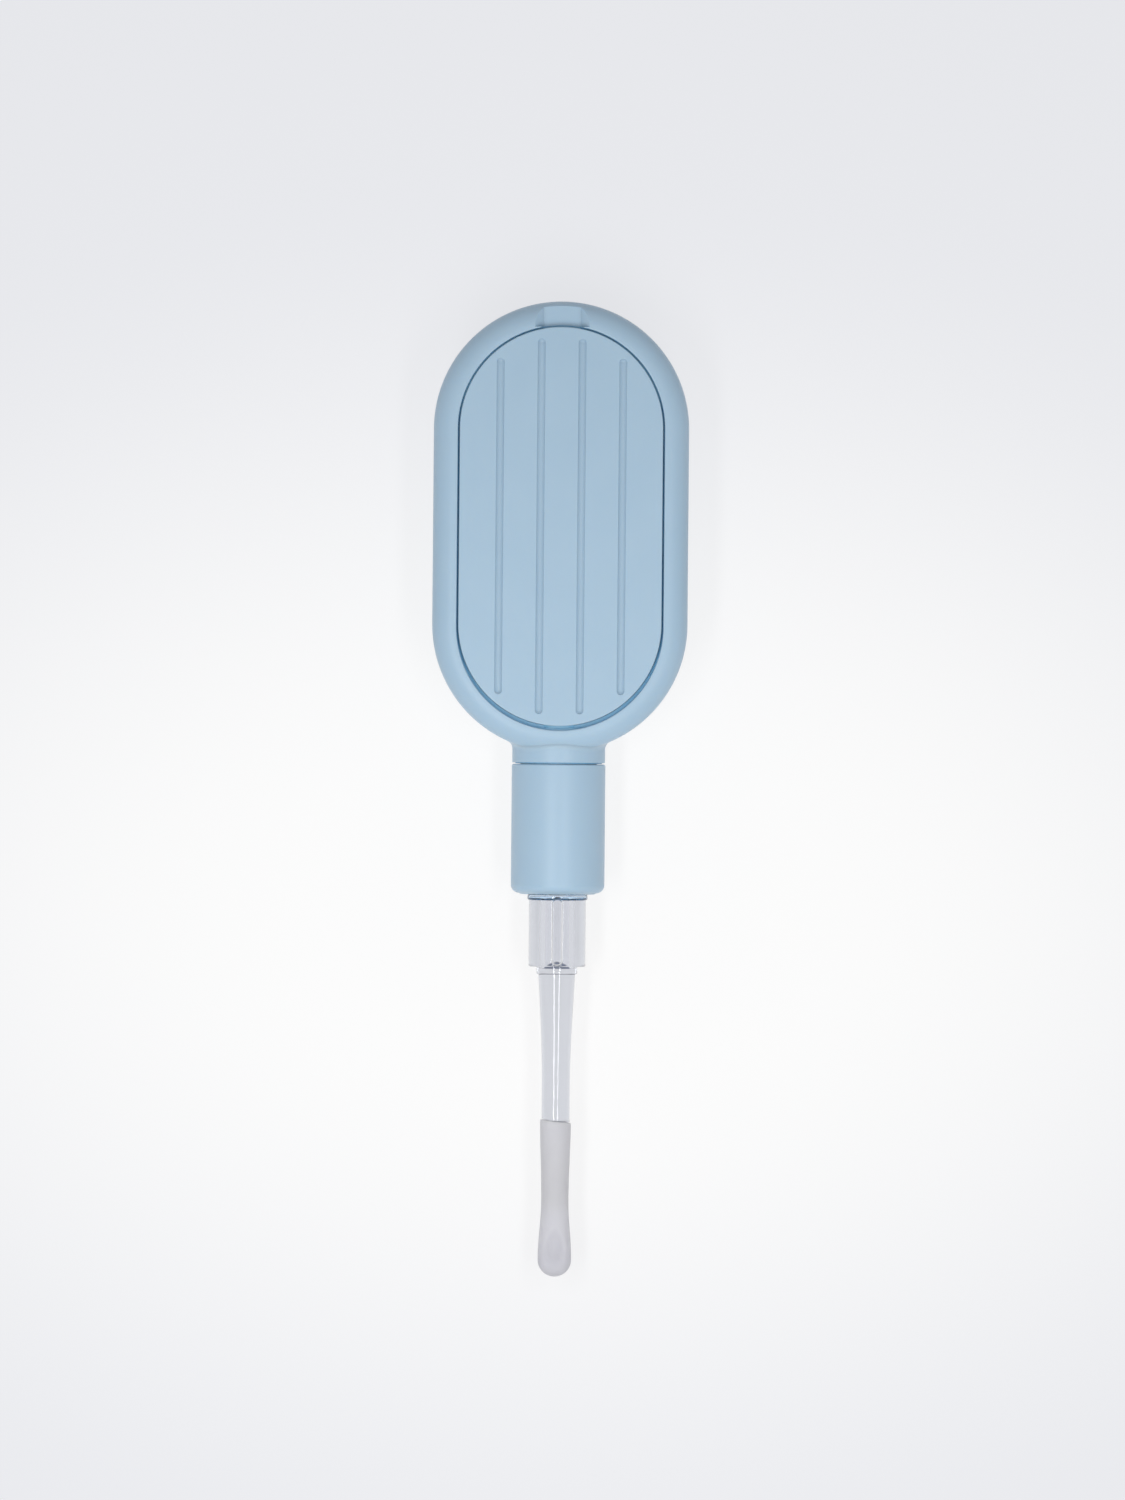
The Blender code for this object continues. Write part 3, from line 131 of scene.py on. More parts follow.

# Clear plastic: tones of the walls and core, the painted highlight on the key groove's edges, the
# painted reflection of the collar's blue in the mouth, and the painted shade at the bore end
ACRYLIC_GREY_DEEP = "d2d5dc"
ACRYLIC_GREY = "d8dae1"
ACRYLIC_CLEAR = "fbfbfd"
PAINTED_HIGHLIGHT_WHITE = "fafbfd"
PAINTED_HIGHLIGHT_ROUGHNESS = 0.4
PAINTED_COLLAR_REFLECTION_DEEP = "8fb0d6"
PAINTED_COLLAR_REFLECTION = "d0eaff"
PAINTED_BORE_END_SHADE = "8089a0"
PAINTED_BORE_SHADE_HALF_WIDTH = 1.47 * MM
PAINTED_BORE_SHADE_HEIGHT = 0.88 * MM
SOLID_TRANSMISSION = 0.05

# Where each of those tones starts and is full, from the wall, end or foot that it belongs to
CAST_WALL_FADE = (0.1 * MM, 0.5 * MM)
CAST_STEM_FADE = (0.2 * MM, 0.0)
PAINTED_REFLECTION_FOOT_FADE = (-0.05 * MM, 0.05 * MM)
PAINTED_BORE_SHADE_OUTER_FADE = (0.08 * MM, 0.04 * MM)
PAINTED_BORE_SHADE_INNER_FADE = (-0.12 * MM, -0.06 * MM)
PAINTED_BORE_SHADE_END_FADE = (-1.0 * MM, -0.9 * MM)
PAINTED_BORE_SHADE_CREST_FADE = (0.06 * MM, -0.06 * MM)
PAINTED_HIGHLIGHT_EDGE_FADE = (0.19 * MM, 0.0)
PAINTED_HIGHLIGHT_TOP_FADE = (0.0, -0.2 * MM)
PAINTED_HIGHLIGHT_FRONT_FADE = (-0.65 * MM, -0.55 * MM)

# Soft tip's silicone: tones, and painted shade that darkens it towards the spoon's end
SILICONE_GREY_DEEP = "d2d2d8"
SILICONE_GREY = "d8d8de"
SILICONE_PAINTED_END_SHADE = "cdcdd4"
PAINTED_END_SHADE_START = 6.5 * MM
PAINTED_END_SHADE_FULL = 2.5 * MM

# Case and lid
CASE_STRAIGHT = 26.0 * MM
CASE_WALL = 1.6 * MM
CASE_EDGE_RADIUS = 2.8 * MM
FLOOR_CORNER_RADIUS = 1.2 * MM
PARTING_GAP = 0.12 * MM
PARTING_EDGE = 0.10 * MM
LIP_HEIGHT = 0.9 * MM
LIP_CLEARANCE = 0.10 * MM
LID_GAP = 0.22 * MM
LID_THICKNESS = 1.6 * MM
LID_FILLET = 0.25 * MM
SEAM_FILLET = 0.14 * MM
SEAM_LIP = 0.17 * MM
SEAM_DEPTH = 1.10 * MM
SEAM_WIDENING = 0.10 * MM
LEDGE_WIDTH = 1.2 * MM
LEDGE_THICKNESS = 1.2 * MM
LEDGE_CLEARANCE = 0.15 * MM
SKIRT_CLEARANCE = 0.25 * MM
SKIRT_WALL = 0.9 * MM
SKIRT_DEPTH = 1.1 * MM
SNAP_BEAD = 0.12 * MM
LATCH_LENGTH = 7.0 * MM
LATCH_SETBACK = 0.10 * MM
LATCH_BEAD_START = 0.20
LATCH_BEAD_SPAN = 0.65
LATCH_STEPS = 24
HINGE_EXTRA_GAP = 0.25 * MM
STRAP_WIDTH = 4.0 * MM
STRAP_ROOT = 0.40 * MM
STRAP_THICK = 0.30 * MM
STRAP_THIN = 0.12 * MM
STRAP_DIP = 0.60 * MM
STRAP_END_DIP = 0.30 * MM
STRAP_HALF_STEPS = 12

# Grip grooves and nail notch
GROOVE_WIDTH = 1.05 * MM
GROOVE_DEPTH = 0.30 * MM
GROOVE_SPACING = 5.43 * MM
GROOVE_FLOOR_STEPS = 9
GROOVE_MARGINS = {1: 1.30 * MM, 3: 1.45 * MM}
NOTCH_FLOOR_WIDTH = 4.9 * MM
NOTCH_TOP_WIDTH = 7.3 * MM
NOTCH_DEPTH = 1.0 * MM

# Neck, barrel and collar
NECK_STEP = 0.15 * MM
NECK_FILLET = 1.1 * MM
SEAM_EDGE = 0.08 * MM
SPIGOT_STEP = 0.42 * MM
NECK_SEAM_WIDENING = 0.05 * MM
COLLAR_EDGE = 0.25 * MM
COLLAR_TRIM = 0.10 * MM
SPIGOT_GAP = 0.02 * MM
BLOCK_WALL = 1.3 * MM
BARREL_WALL = 0.50 * MM
SEAT_CLEARANCE = 0.10 * MM
FIT_CLEARANCE = 0.15 * MM
BEAD_HEIGHT = 0.22 * MM
BEAD_SETBACK = 6.0 * MM
BEAD_WIDTH = 0.60 * MM
FLANGE_KEY_WIDTH = 1.0 * MM
COLLAR_CORNER_RADIUS = 1.1 * MM
COLLAR_DOME = 0.15 * MM
MOUTH_CLEARANCE = 0.17 * MM
MOUTH_CHAMFER = 0.25 * MM

# Cartridge
CELL_CAP_RADIUS = 3.2 * MM
CELL_CAP_HEIGHT = 0.45 * MM
CELL_CRIMP = 0.22 * MM
GASKET_WALL = 0.22 * MM
HOLDER_WALL = 0.38 * MM
HOLDER_END_WALL = 0.60 * MM
HOLDER_LIP = 0.60 * MM
HOLDER_FRONT_RING = 0.70 * MM
STRIP_WIDTH = 1.2 * MM
KEY_RIB_WIDTH = 1.0 * MM
SPRING_WIRE = 0.35 * MM
SPRING_TOP_RADIUS = 1.2 * MM
SPRING_TURNS = 2.5
CARRIER_THICKNESS = 1.3 * MM
NOSE_WALL = 0.38 * MM
RING_SLACK = 0.02 * MM
LED_CLEARANCE = 0.12 * MM
LED_FLANGE_HEIGHT = 0.60 * MM
LED_FLANGE_LIP = 0.20 * MM
LEAD_SPACING = 2.0 * MM

# Lamp's cup and post: shares of the lamp's length and radius, and the post's sizes
LED_CUP_PLACE = 0.52
LED_ANVIL_SHARE = 0.42
LED_CUP_SHARE = 0.30
LED_POST_SHARE = 0.62
LED_POST_RADIUS = 0.16 * MM
LED_POST_HEAD_RADIUS = 0.26 * MM
LED_POST_HEAD_LENGTH = 0.30 * MM
LED_POST_TAPER_END = 0.50 * MM

# Clear pick
CONE_LENGTH = 1.25 * MM
SOCKET_RADIUS = 3.80 * MM
SOCKET_LENGTH = 8.4 * MM
SHOULDER_RADIUS = 0.18 * MM
POCKET_CLEARANCE = 0.20 * MM
NOSE_SEAT_GAP = 0.40 * MM
LAMP_BORE_CLEARANCE = 0.15 * MM
BORE_OVERRUN = 0.27 * MM
BORE_DOME = 0.15 * MM
BEAD_LENGTH = 0.80 * MM
BEAD_RISE = 0.24 * MM
PAINTED_REFLECTION_FADE = (-BEAD_LENGTH, -BEAD_LENGTH / 3)
KEYWAY_WIDTH = 1.3 * MM
KEYWAY_DEPTH = 0.45 * MM
KEYWAY_SETBACK = 0.25 * MM
KEYWAY_SOFTENING = 0.12 * MM
STEP_RING_LIP = 0.27 * MM
STEP_RING_LENGTH = 1.0 * MM
STEM_LENGTH = 19.3 * MM
STEM_TAPER_LENGTH = 15.5 * MM
STEM_STEPS = 24
STEM_TOP_RADIUS = 2.47 * MM
STEM_END_RADIUS = 1.87 * MM
CORE_RADIUS = 1.05 * MM

# Soft tip
SLEEVE_TOP_RADIUS = 2.06 * MM
SLEEVE_WAIST_RADIUS = 1.82 * MM
SLEEVE_TRIM = 0.18 * MM
SLEEVE_WAIST_PLACE = 10.7 * MM
SLEEVE_BULGE_HALF_THICKNESS = 1.75 * MM
SLEEVE_BORE_CLEARANCE = 0.15 * MM
SLEEVE_LIP = 0.18 * MM
SCOOP_LENGTH = 5.4 * MM
SCOOP_WIDTH = 2.7 * MM
SCOOP_DEPTH = 0.22 * MM
SCOOP_SETBACK = 1.0 * MM
SCOOP_REACH = 1.35
SLANT_DROP = 0.50 * MM
SLANT_REACH = 3.0 * MM
SLEEVE_STEPS = 96

# Places that the frame gives
CASE_LOW, CASE_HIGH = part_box("rear_shell")
LID_LOW, LID_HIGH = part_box("lid")
COLLAR_LOW, COLLAR_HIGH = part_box("collar")
PICK_LOW, PICK_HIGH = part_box("pick_stem")
TIP_LOW, TIP_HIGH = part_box("tip_sleeve")
BARREL_LOW, BARREL_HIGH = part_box("battery_barrel")
HOLDER_LOW, HOLDER_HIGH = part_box("battery_holder")
LED_LOW, LED_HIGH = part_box("led")
CARRIER_LOW, CARRIER_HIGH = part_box("led_carrier")

CASE_TOP = LID_HIGH.z
AXIS_Z = CASE_TOP / 2
CASE_RADIUS = CASE_HIGH.x
UPPER_CENTRE_Y = CASE_HIGH.y - CASE_RADIUS
LOWER_CENTRE_Y = UPPER_CENTRE_Y - CASE_STRAIGHT
CASE_MIDDLE_Y = (UPPER_CENTRE_Y + LOWER_CENTRE_Y) / 2
NECK_END_Y = CASE_LOW.y
LID_RADIUS = LID_HIGH.x
LID_INSET = CASE_RADIUS - LID_RADIUS
RIM_WIDTH = LID_INSET - LID_GAP
LEDGE_INSET = RIM_WIDTH + LEDGE_WIDTH
LID_UNDER_Z = CASE_TOP - LID_THICKNESS
LEDGE_TOP_Z = LID_UNDER_Z - LEDGE_CLEARANCE
LEDGE_UNDER_Z = LEDGE_TOP_Z - LEDGE_THICKNESS
SEAM_LIP_TOP_Z = CASE_TOP - SEAM_DEPTH
HINGE_GAP = LID_GAP + HINGE_EXTRA_GAP
HINGE_Y = LOWER_CENTRE_Y - LID_RADIUS - HINGE_GAP / 2
HINGE_Z = CASE_TOP - LID_FILLET

COLLAR_RADIUS = COLLAR_HIGH.x
COLLAR_REAR_Y = COLLAR_HIGH.y
MOUTH_Y = COLLAR_LOW.y
BEAD_Y = NECK_END_Y - BEAD_SETBACK
NECK_RADIUS = COLLAR_RADIUS - NECK_STEP
HOLDER_RADIUS = HOLDER_HIGH.z - AXIS_Z
MOUTH_RADIUS = HOLDER_RADIUS + MOUTH_CLEARANCE
BARREL_BORE_RADIUS = HOLDER_RADIUS + FIT_CLEARANCE
BARREL_RADIUS = BARREL_BORE_RADIUS + BARREL_WALL
COLLAR_BORE_RADIUS = BARREL_RADIUS + FIT_CLEARANCE
FLANGE_RADIUS = BARREL_HIGH.z - AXIS_Z
FLANGE_Y = HOLDER_HIGH.y + 2 * FIT_CLEARANCE
BARREL_END_Y = BARREL_HIGH.y
BLOCK_END_Y = BARREL_END_Y + SEAT_CLEARANCE + BLOCK_WALL
MOUTH_STEP_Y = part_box("switch_ring")[0].y - FIT_CLEARANCE

LED_FLANGE_RADIUS = LED_HIGH.x
LED_RADIUS = LED_FLANGE_RADIUS - LED_FLANGE_LIP
NOSE_BORE_RADIUS = LED_FLANGE_RADIUS + LED_CLEARANCE
NOSE_RADIUS = NOSE_BORE_RADIUS + NOSE_WALL
POCKET_RADIUS = NOSE_RADIUS + POCKET_CLEARANCE
LAMP_BORE_RADIUS = LED_RADIUS + LAMP_BORE_CLEARANCE
CARRIER_FRONT_Y = CARRIER_HIGH.y - CARRIER_THICKNESS
NOSE_RING_LOW, NOSE_RING_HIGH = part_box("nose_o_ring")
NOSE_RING_WIRE = NOSE_RING_HIGH.y - NOSE_RING_LOW.y
HOLDER_BORE_RADIUS = HOLDER_RADIUS - HOLDER_WALL

PLUG_RADIUS = MOUTH_RADIUS - FIT_CLEARANCE
SOCKET_END_Y = MOUTH_Y - CONE_LENGTH - SOCKET_LENGTH
STEP_RING_END_Y = SOCKET_END_Y - STEP_RING_LENGTH
KEYWAY_LOW_Y = SOCKET_END_Y + KEYWAY_SETBACK + KEYWAY_WIDTH / 2
STEM_END_Y = STEP_RING_END_Y - STEM_LENGTH
SLEEVE_TOP_Y = TIP_HIGH.y
TIP_Y = TIP_LOW.y
SLEEVE_LENGTH = SLEEVE_TOP_Y - TIP_Y
SLEEVE_BULGE_RADIUS = TIP_HIGH.x - SLEEVE_TRIM
SLEEVE_BULGE_PLACE = SLEEVE_LENGTH - SLEEVE_BULGE_RADIUS


def put(tree, value, socket):
    """Link a node's first output in use, or a socket, to an input; or set the input to a value,
    where a hex value stands for a colour."""
    if isinstance(value, bpy.types.Node):
        value = next(output for output in value.outputs if output.enabled)
    if isinstance(value, bpy.types.NodeSocket):
        tree.links.new(value, socket)
    else:
        socket.default_value = linear(value) if isinstance(value, str) else value


def add(tree, kind, inputs=None, **settings):
    """Add a node with its settings, and with its inputs linked or set."""
    made = tree.nodes.new(kind)
    for name, value in settings.items():
        setattr(made, name, value)
    for key, value in (inputs or {}).items():
        put(tree, value, made.inputs[key])
    return made


def linear(code):
    """Linear colour with full cover from an sRGB hex value."""
    channels = []
    for start in (0, 2, 4):
        value = int(code[start:start + 2], 16) / 255
        channels.append(value / 12.92 if value <= 0.04045 else ((value + 0.055) / 1.055) ** 2.4)
    return (*channels, 1.0)


def arc(across, along, radius, start, end, steps=ARC_STEPS):
    """Points on an arc about (across, along), angles in degrees, both ends included."""
    points = []
    for index in range(steps + 1):
        angle = math.radians(start + (end - start) * index / steps)
        points.append((across + radius * math.cos(angle), along + radius * math.sin(angle)))
    return points


def capsule(across, low, high, radius, z, steps=24):
    """Level ring with round ends about (across, high) and (across, low)."""
    ring = []
    for start, centre in ((0.0, high), (math.pi, low)):
        for index in range(steps + 1):
            angle = start + math.pi * index / steps
            ring.append((across + radius * math.cos(angle), centre + radius * math.sin(angle), z))
    return ring


def oval(half_width, half_height, y, steps=TURN_STEPS):
    """Upright ring about the long axis; a width of zero gives one point on the axis."""
    if half_width == 0.0:
        return [(0.0, y, AXIS_Z)]
    ring = []
    for index in range(steps):
        angle = 2 * math.pi * index / steps
        ring.append((half_width * math.cos(angle), y, AXIS_Z + half_height * math.sin(angle)))
    return ring


def skin(mesh, row, following):
    """Quads between two rows of vertices, or a fan where one of them is a single point."""
    count = max(len(row), len(following))
    for index in range(count):
        after = (index + 1) % count
        if len(row) == 1:
            corners = (row[0], following[after], following[index])
        elif len(following) == 1:
            corners = (row[index], row[after], following[0])
        else:
            corners = (row[index], row[after], following[after], following[index])
        mesh.faces.new(corners)


def solid(name, mesh):
    """Object from a closed mesh whose faces are turned outwards."""
    bmesh.ops.recalc_face_normals(mesh, faces=mesh.faces)
    data = bpy.data.meshes.new(name)
    mesh.to_mesh(data)
    mesh.free()
    thing = bpy.data.objects.new(name, data)
    bpy.context.scene.collection.objects.link(thing)
    return thing


def loft(name, rings, looped=False):
    """Solid skinned over rings; a looped one is a closed tube, another is capped at both ends."""
    mesh = bmesh.new()
    rows = [[mesh.verts.new(point) for point in ring] for ring in rings]
    pairs = list(zip(rows, rows[1:]))
    if looped:
        pairs.append((rows[-1], rows[0]))
    for row, following in pairs:
        skin(mesh, row, following)
    if not looped:
        for row in (rows[0], rows[-1]):
            if len(row) > 2:
                mesh.faces.new(row)
    return solid(name, mesh)


def turned(name, profile, steps=TURN_STEPS, looped=False):
    """Solid turned about the long axis from (radius, y) points."""
    return loft(name, [oval(radius, radius, y, steps) for radius, y in profile], looped)


def block(name, low, high):
    """Box between two corners, used as a cutter."""
    rings = []
    for z in (low[2], high[2]):
        rings.append([(low[0], low[1], z), (high[0], low[1], z), (high[0], high[1], z),
                      (low[0], high[1], z)])
    return loft(name, rings)


def evaluated_mesh(thing):
    """Plain mesh of a thing's evaluated shape."""
    bpy.context.view_layer.update()
    graph = bpy.context.evaluated_depsgraph_get()
    return bpy.data.meshes.new_from_object(thing.evaluated_get(graph))


def settle(thing):
    """Give a piece its evaluated shape as its own plain mesh, with no modifier left."""
    made = evaluated_mesh(thing)
    thing.modifiers.clear()
    thing.data = made
    return thing


def shape_with(target, operation, *operands):
    """Unite the target with, or cut it by, operands, which are then removed."""
    for operand in operands:
        modifier = target.modifiers.new("shape", "BOOLEAN")
        modifier.operation = operation
        modifier.object = operand
        modifier.solver = "EXACT"
    settle(target)
    for operand in operands:
        bpy.data.objects.remove(operand)
    return target


def polish(thing, material, sharp=SHARP_ANGLE):
    """Give a finished piece its material and smooth it, with edges past an angle kept sharp."""
    thing.data.materials.clear()
    thing.data.materials.append(material)
    thing.data.shade_smooth()
    thing.data.set_sharp_from_angle(angle=math.radians(sharp))


def dress(thing, material, body, nodes=(), sharp=SHARP_ANGLE):
    """Polish a finished piece, even out its normals, give it its body and hide the nodes it stands
    for.
    """
    polish(thing, material, sharp)
    normals = thing.modifiers.new("even_normals", "WEIGHTED_NORMAL")
    normals.keep_sharp = True
    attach(thing, body)
    if nodes:
        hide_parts(*nodes)
    return thing


def new_tree(name, *sockets):
    """Geometry tree with a geometry output and the named inputs, given as (name, kind) pairs."""
    tree = bpy.data.node_groups.new(name, "GeometryNodeTree")
    tree.interface.new_socket(name="Geometry", in_out="OUTPUT", socket_type="NodeSocketGeometry")
    for label, kind in sockets:
        tree.interface.new_socket(name=label, in_out="INPUT", socket_type=f"NodeSocket{kind}")
    return tree, add(tree, "NodeGroupInput").outputs


def end_tree(tree, geometry, material):
    """Last nodes of a tree: real geometry, its material and the output."""
    real = add(tree, "GeometryNodeRealizeInstances", {"Geometry": geometry})
    painted = add(tree, "GeometryNodeSetMaterial", {"Geometry": real, "Material": material})
    add(tree, "NodeGroupOutput", {"Geometry": painted})
    return tree


def grow(thing, tree, **values):
    """Run a tree on a piece, with each input set by its socket's identifier, and keep the mesh."""
    modifier = thing.modifiers.new(tree.name, "NODES")
    modifier.node_group = tree
    for item in tree.interface.items_tree:
        if item.in_out == "INPUT" and item.name in values:
            modifier[item.identifier] = values[item.name]
    return settle(thing)


def outline_sweep_tree():
    """Sweep a section along the case's stadium outline: a circle whose halves are drawn apart."""
    tree, given = new_tree("outline_sweep", ("Section", "Object"), ("Radius", "Float"),
                           ("Straight", "Float"), ("Middle", "Float"), ("Steps", "Int"),
                           ("Merge", "Float"), ("Finish", "Material"))
    circle = add(tree, "GeometryNodeCurvePrimitiveCircle", {"Resolution": given["Steps"],
                                                            "Radius": given["Radius"]})
    half_step = add(tree, "ShaderNodeMath", {0: math.pi, 1: given["Steps"]}, operation="DIVIDE")
    turn = add(tree, "ShaderNodeCombineXYZ", {"Z": half_step})
    start = add(tree, "GeometryNodeTransform", {"Geometry": circle, "Rotation": turn})
    place = add(tree, "ShaderNodeSeparateXYZ", {0: add(tree, "GeometryNodeInputPosition")})
    side = add(tree, "ShaderNodeMath", {0: place.outputs["Y"]}, operation="SIGN")
    half = add(tree, "ShaderNodeMath", {0: given["Straight"], 1: 0.5}, operation="MULTIPLY")
    shift = add(tree, "ShaderNodeMath", {0: side, 1: half, 2: given["Middle"]},
                operation="MULTIPLY_ADD")
    offset = add(tree, "ShaderNodeCombineXYZ", {"Y": shift})
    outline = add(tree, "GeometryNodeSetPosition", {"Geometry": start, "Offset": offset})
    section = add(tree, "GeometryNodeObjectInfo", {"Object": given["Section"]})
    swept = add(tree, "GeometryNodeCurveToMesh", {"Curve": outline,
                                                  "Profile Curve": section.outputs["Geometry"]})
    merged = add(tree, "GeometryNodeMergeByDistance", {"Geometry": swept,
                                                       "Distance": given["Merge"]})
    return end_tree(tree, merged, given["Finish"])


def grip_groove_tree():
    """Cut rows of grip grooves: one pair of each cutter, set at odd shares of the spacing."""
    tree, given = new_tree("grip_grooves", ("Lid", "Geometry"), ("Inner cutter", "Object"),
                           ("Outer cutter", "Object"), ("Spacing", "Float"),
                           ("Finish", "Material"))
    joined = add(tree, "GeometryNodeJoinGeometry")
    for label, share in (("Inner cutter", 1), ("Outer cutter", 3)):
        reach = add(tree, "ShaderNodeMath", {0: given["Spacing"], 1: share / 2},
                    operation="MULTIPLY")
        left = add(tree, "ShaderNodeMath", {0: reach, 1: -1.0}, operation="MULTIPLY")
        start, end = (add(tree, "ShaderNodeCombineXYZ", {"X": across}) for across in (left, reach))
        pair = add(tree, "GeometryNodeMeshLine", {"Count": 2, "Start Location": start,
                                                  "Offset": end}, mode="END_POINTS")
        cutter = add(tree, "GeometryNodeObjectInfo", {"Object": given[label]})
        placed = add(tree, "GeometryNodeInstanceOnPoints",
                     {"Points": pair, "Instance": cutter.outputs["Geometry"]})
        put(tree, placed, joined.inputs["Geometry"])
    real = add(tree, "GeometryNodeRealizeInstances", {"Geometry": joined})
    cut = add(tree, "GeometryNodeMeshBoolean", {"Mesh 1": given["Lid"], "Mesh 2": real},
              operation="DIFFERENCE", solver="EXACT")
    return end_tree(tree, cut, given["Finish"])


def coil_tree():
    """Conical spring: a round wire along a spiral that narrows as it rises."""
    tree, given = new_tree("conical_coil", ("Turns", "Float"), ("Base radius", "Float"),
                           ("Top radius", "Float"), ("Rise", "Float"), ("Wire", "Float"),
                           ("Place", "Vector"), ("Finish", "Material"))
    spiral = add(tree, "GeometryNodeCurveSpiral", {"Resolution": COIL_STEPS,
                                                   "Rotations": given["Turns"],
                                                   "Start Radius": given["Base radius"],
                                                   "End Radius": given["Top radius"],
                                                   "Height": given["Rise"]})
    half_wire = add(tree, "ShaderNodeMath", {0: given["Wire"], 1: 0.5}, operation="MULTIPLY")
    wire = add(tree, "GeometryNodeCurvePrimitiveCircle", {"Resolution": WIRE_STEPS,
                                                          "Radius": half_wire})
    swept = add(tree, "GeometryNodeCurveToMesh", {"Curve": spiral, "Profile Curve": wire,
                                                  "Fill Caps": True})
    laid = add(tree, "GeometryNodeTransform", {"Geometry": swept, "Translation": given["Place"],
                                               "Rotation": (math.pi / 2, 0.0, 0.0)})
    return end_tree(tree, laid, given["Finish"])


def empty_piece(name):
    """Object with no mesh yet, for a tree to fill."""
    thing = bpy.data.objects.new(name, bpy.data.meshes.new(name))
    bpy.context.scene.collection.objects.link(thing)
    return thing


def outward(thing):
    """Merge a swept surface where it meets itself and turn its faces outwards."""
    mesh = bmesh.new()
    mesh.from_mesh(thing.data)
    bmesh.ops.remove_doubles(mesh, verts=mesh.verts, dist=MERGE_DISTANCE)
    bmesh.ops.dissolve_degenerate(mesh, edges=mesh.edges, dist=MERGE_DISTANCE)
    bmesh.ops.recalc_face_normals(mesh, faces=mesh.faces)
    mesh.to_mesh(thing.data)
    mesh.free()
    return thing


def path(name, points, dimensions, closed=False):
    """Curve object along points."""
    curve = bpy.data.curves.new(name, "CURVE")
    curve.dimensions = dimensions
    spline = curve.splines.new("POLY")
    spline.points.add(len(points) - 1)
    for point, place in zip(spline.points, points):
        point.co = (*place, 1.0)
    spline.use_cyclic_u = closed
    thing = bpy.data.objects.new(name, curve)
    bpy.context.scene.collection.objects.link(thing)
    return thing


def swept_case(name, tree, section, closed, material):
    """Case piece from a section of (inset, z) points swept along the case's outline."""
    guide = path(name + "_section", [(-inset, -z, 0.0) for inset, z in section], "2D", closed)
    piece = grow(empty_piece(name), tree, Section=guide, Radius=CASE_RADIUS,
                 Straight=CASE_STRAIGHT, Middle=CASE_MIDDLE_Y, Steps=OUTLINE_STEPS,
                 Merge=MERGE_DISTANCE, Finish=material)
    bpy.data.objects.remove(guide)
    return outward(piece)


def blank(made):
    """Emptied node tree of a new material or world."""
    made.use_nodes = True
    made.node_tree.nodes.clear()
    return made.node_tree


def finish(name, tones, roughness, relief, **values):
    """Material on a Principled shader. Its colour drifts between two tones, its roughness between
    two values, and its relief has a depth and a strength, each over a noise pattern given as
    (feature size, detail, stretch). The other values name the shader's sockets."""
    made = bpy.data.materials.new(name)
    tree = blank(made)
    place = add(tree, "ShaderNodeTexCoord").outputs["Object"]
    noise = dict.fromkeys((tones[2], roughness[2], relief[2]))
    for pattern in noise:
        size, detail, stretch = pattern
        spot = place
        if stretch != EVEN:
            spot = add(tree, "ShaderNodeMapping", {"Vector": place, "Scale": stretch})
        noise[pattern] = add(tree, "ShaderNodeTexNoise", {"Vector": spot, "Scale": 1 / size,
                                                          "Detail": detail})
    colour = add(tree, "ShaderNodeMix", {"Factor": noise[tones[2]], 6: tones[0], 7: tones[1]},
                 data_type="RGBA")
    rough = add(tree, "ShaderNodeMapRange", {"Value": noise[roughness[2]], "From Min": NOISE_LOW,
                                             "From Max": NOISE_HIGH, "To Min": roughness[0],
                                             "To Max": roughness[1]})
    bump = add(tree, "ShaderNodeBump", {"Height": noise[relief[2]], "Distance": relief[0],
                                        "Strength": relief[1]})
    sockets = {key.replace("_", " "): value for key, value in values.items()}
    shader = add(tree, "ShaderNodeBsdfPrincipled", {"Base Color": colour, "Roughness": rough,
                                                    "Normal": bump, **sockets})
    add(tree, "ShaderNodeOutputMaterial", {"Surface": shader})
    return made, tree, place, shader


def feeding(shader, name):
    """Socket that feeds one of a shader's inputs so far."""
    return shader.inputs[name].links[0].from_socket


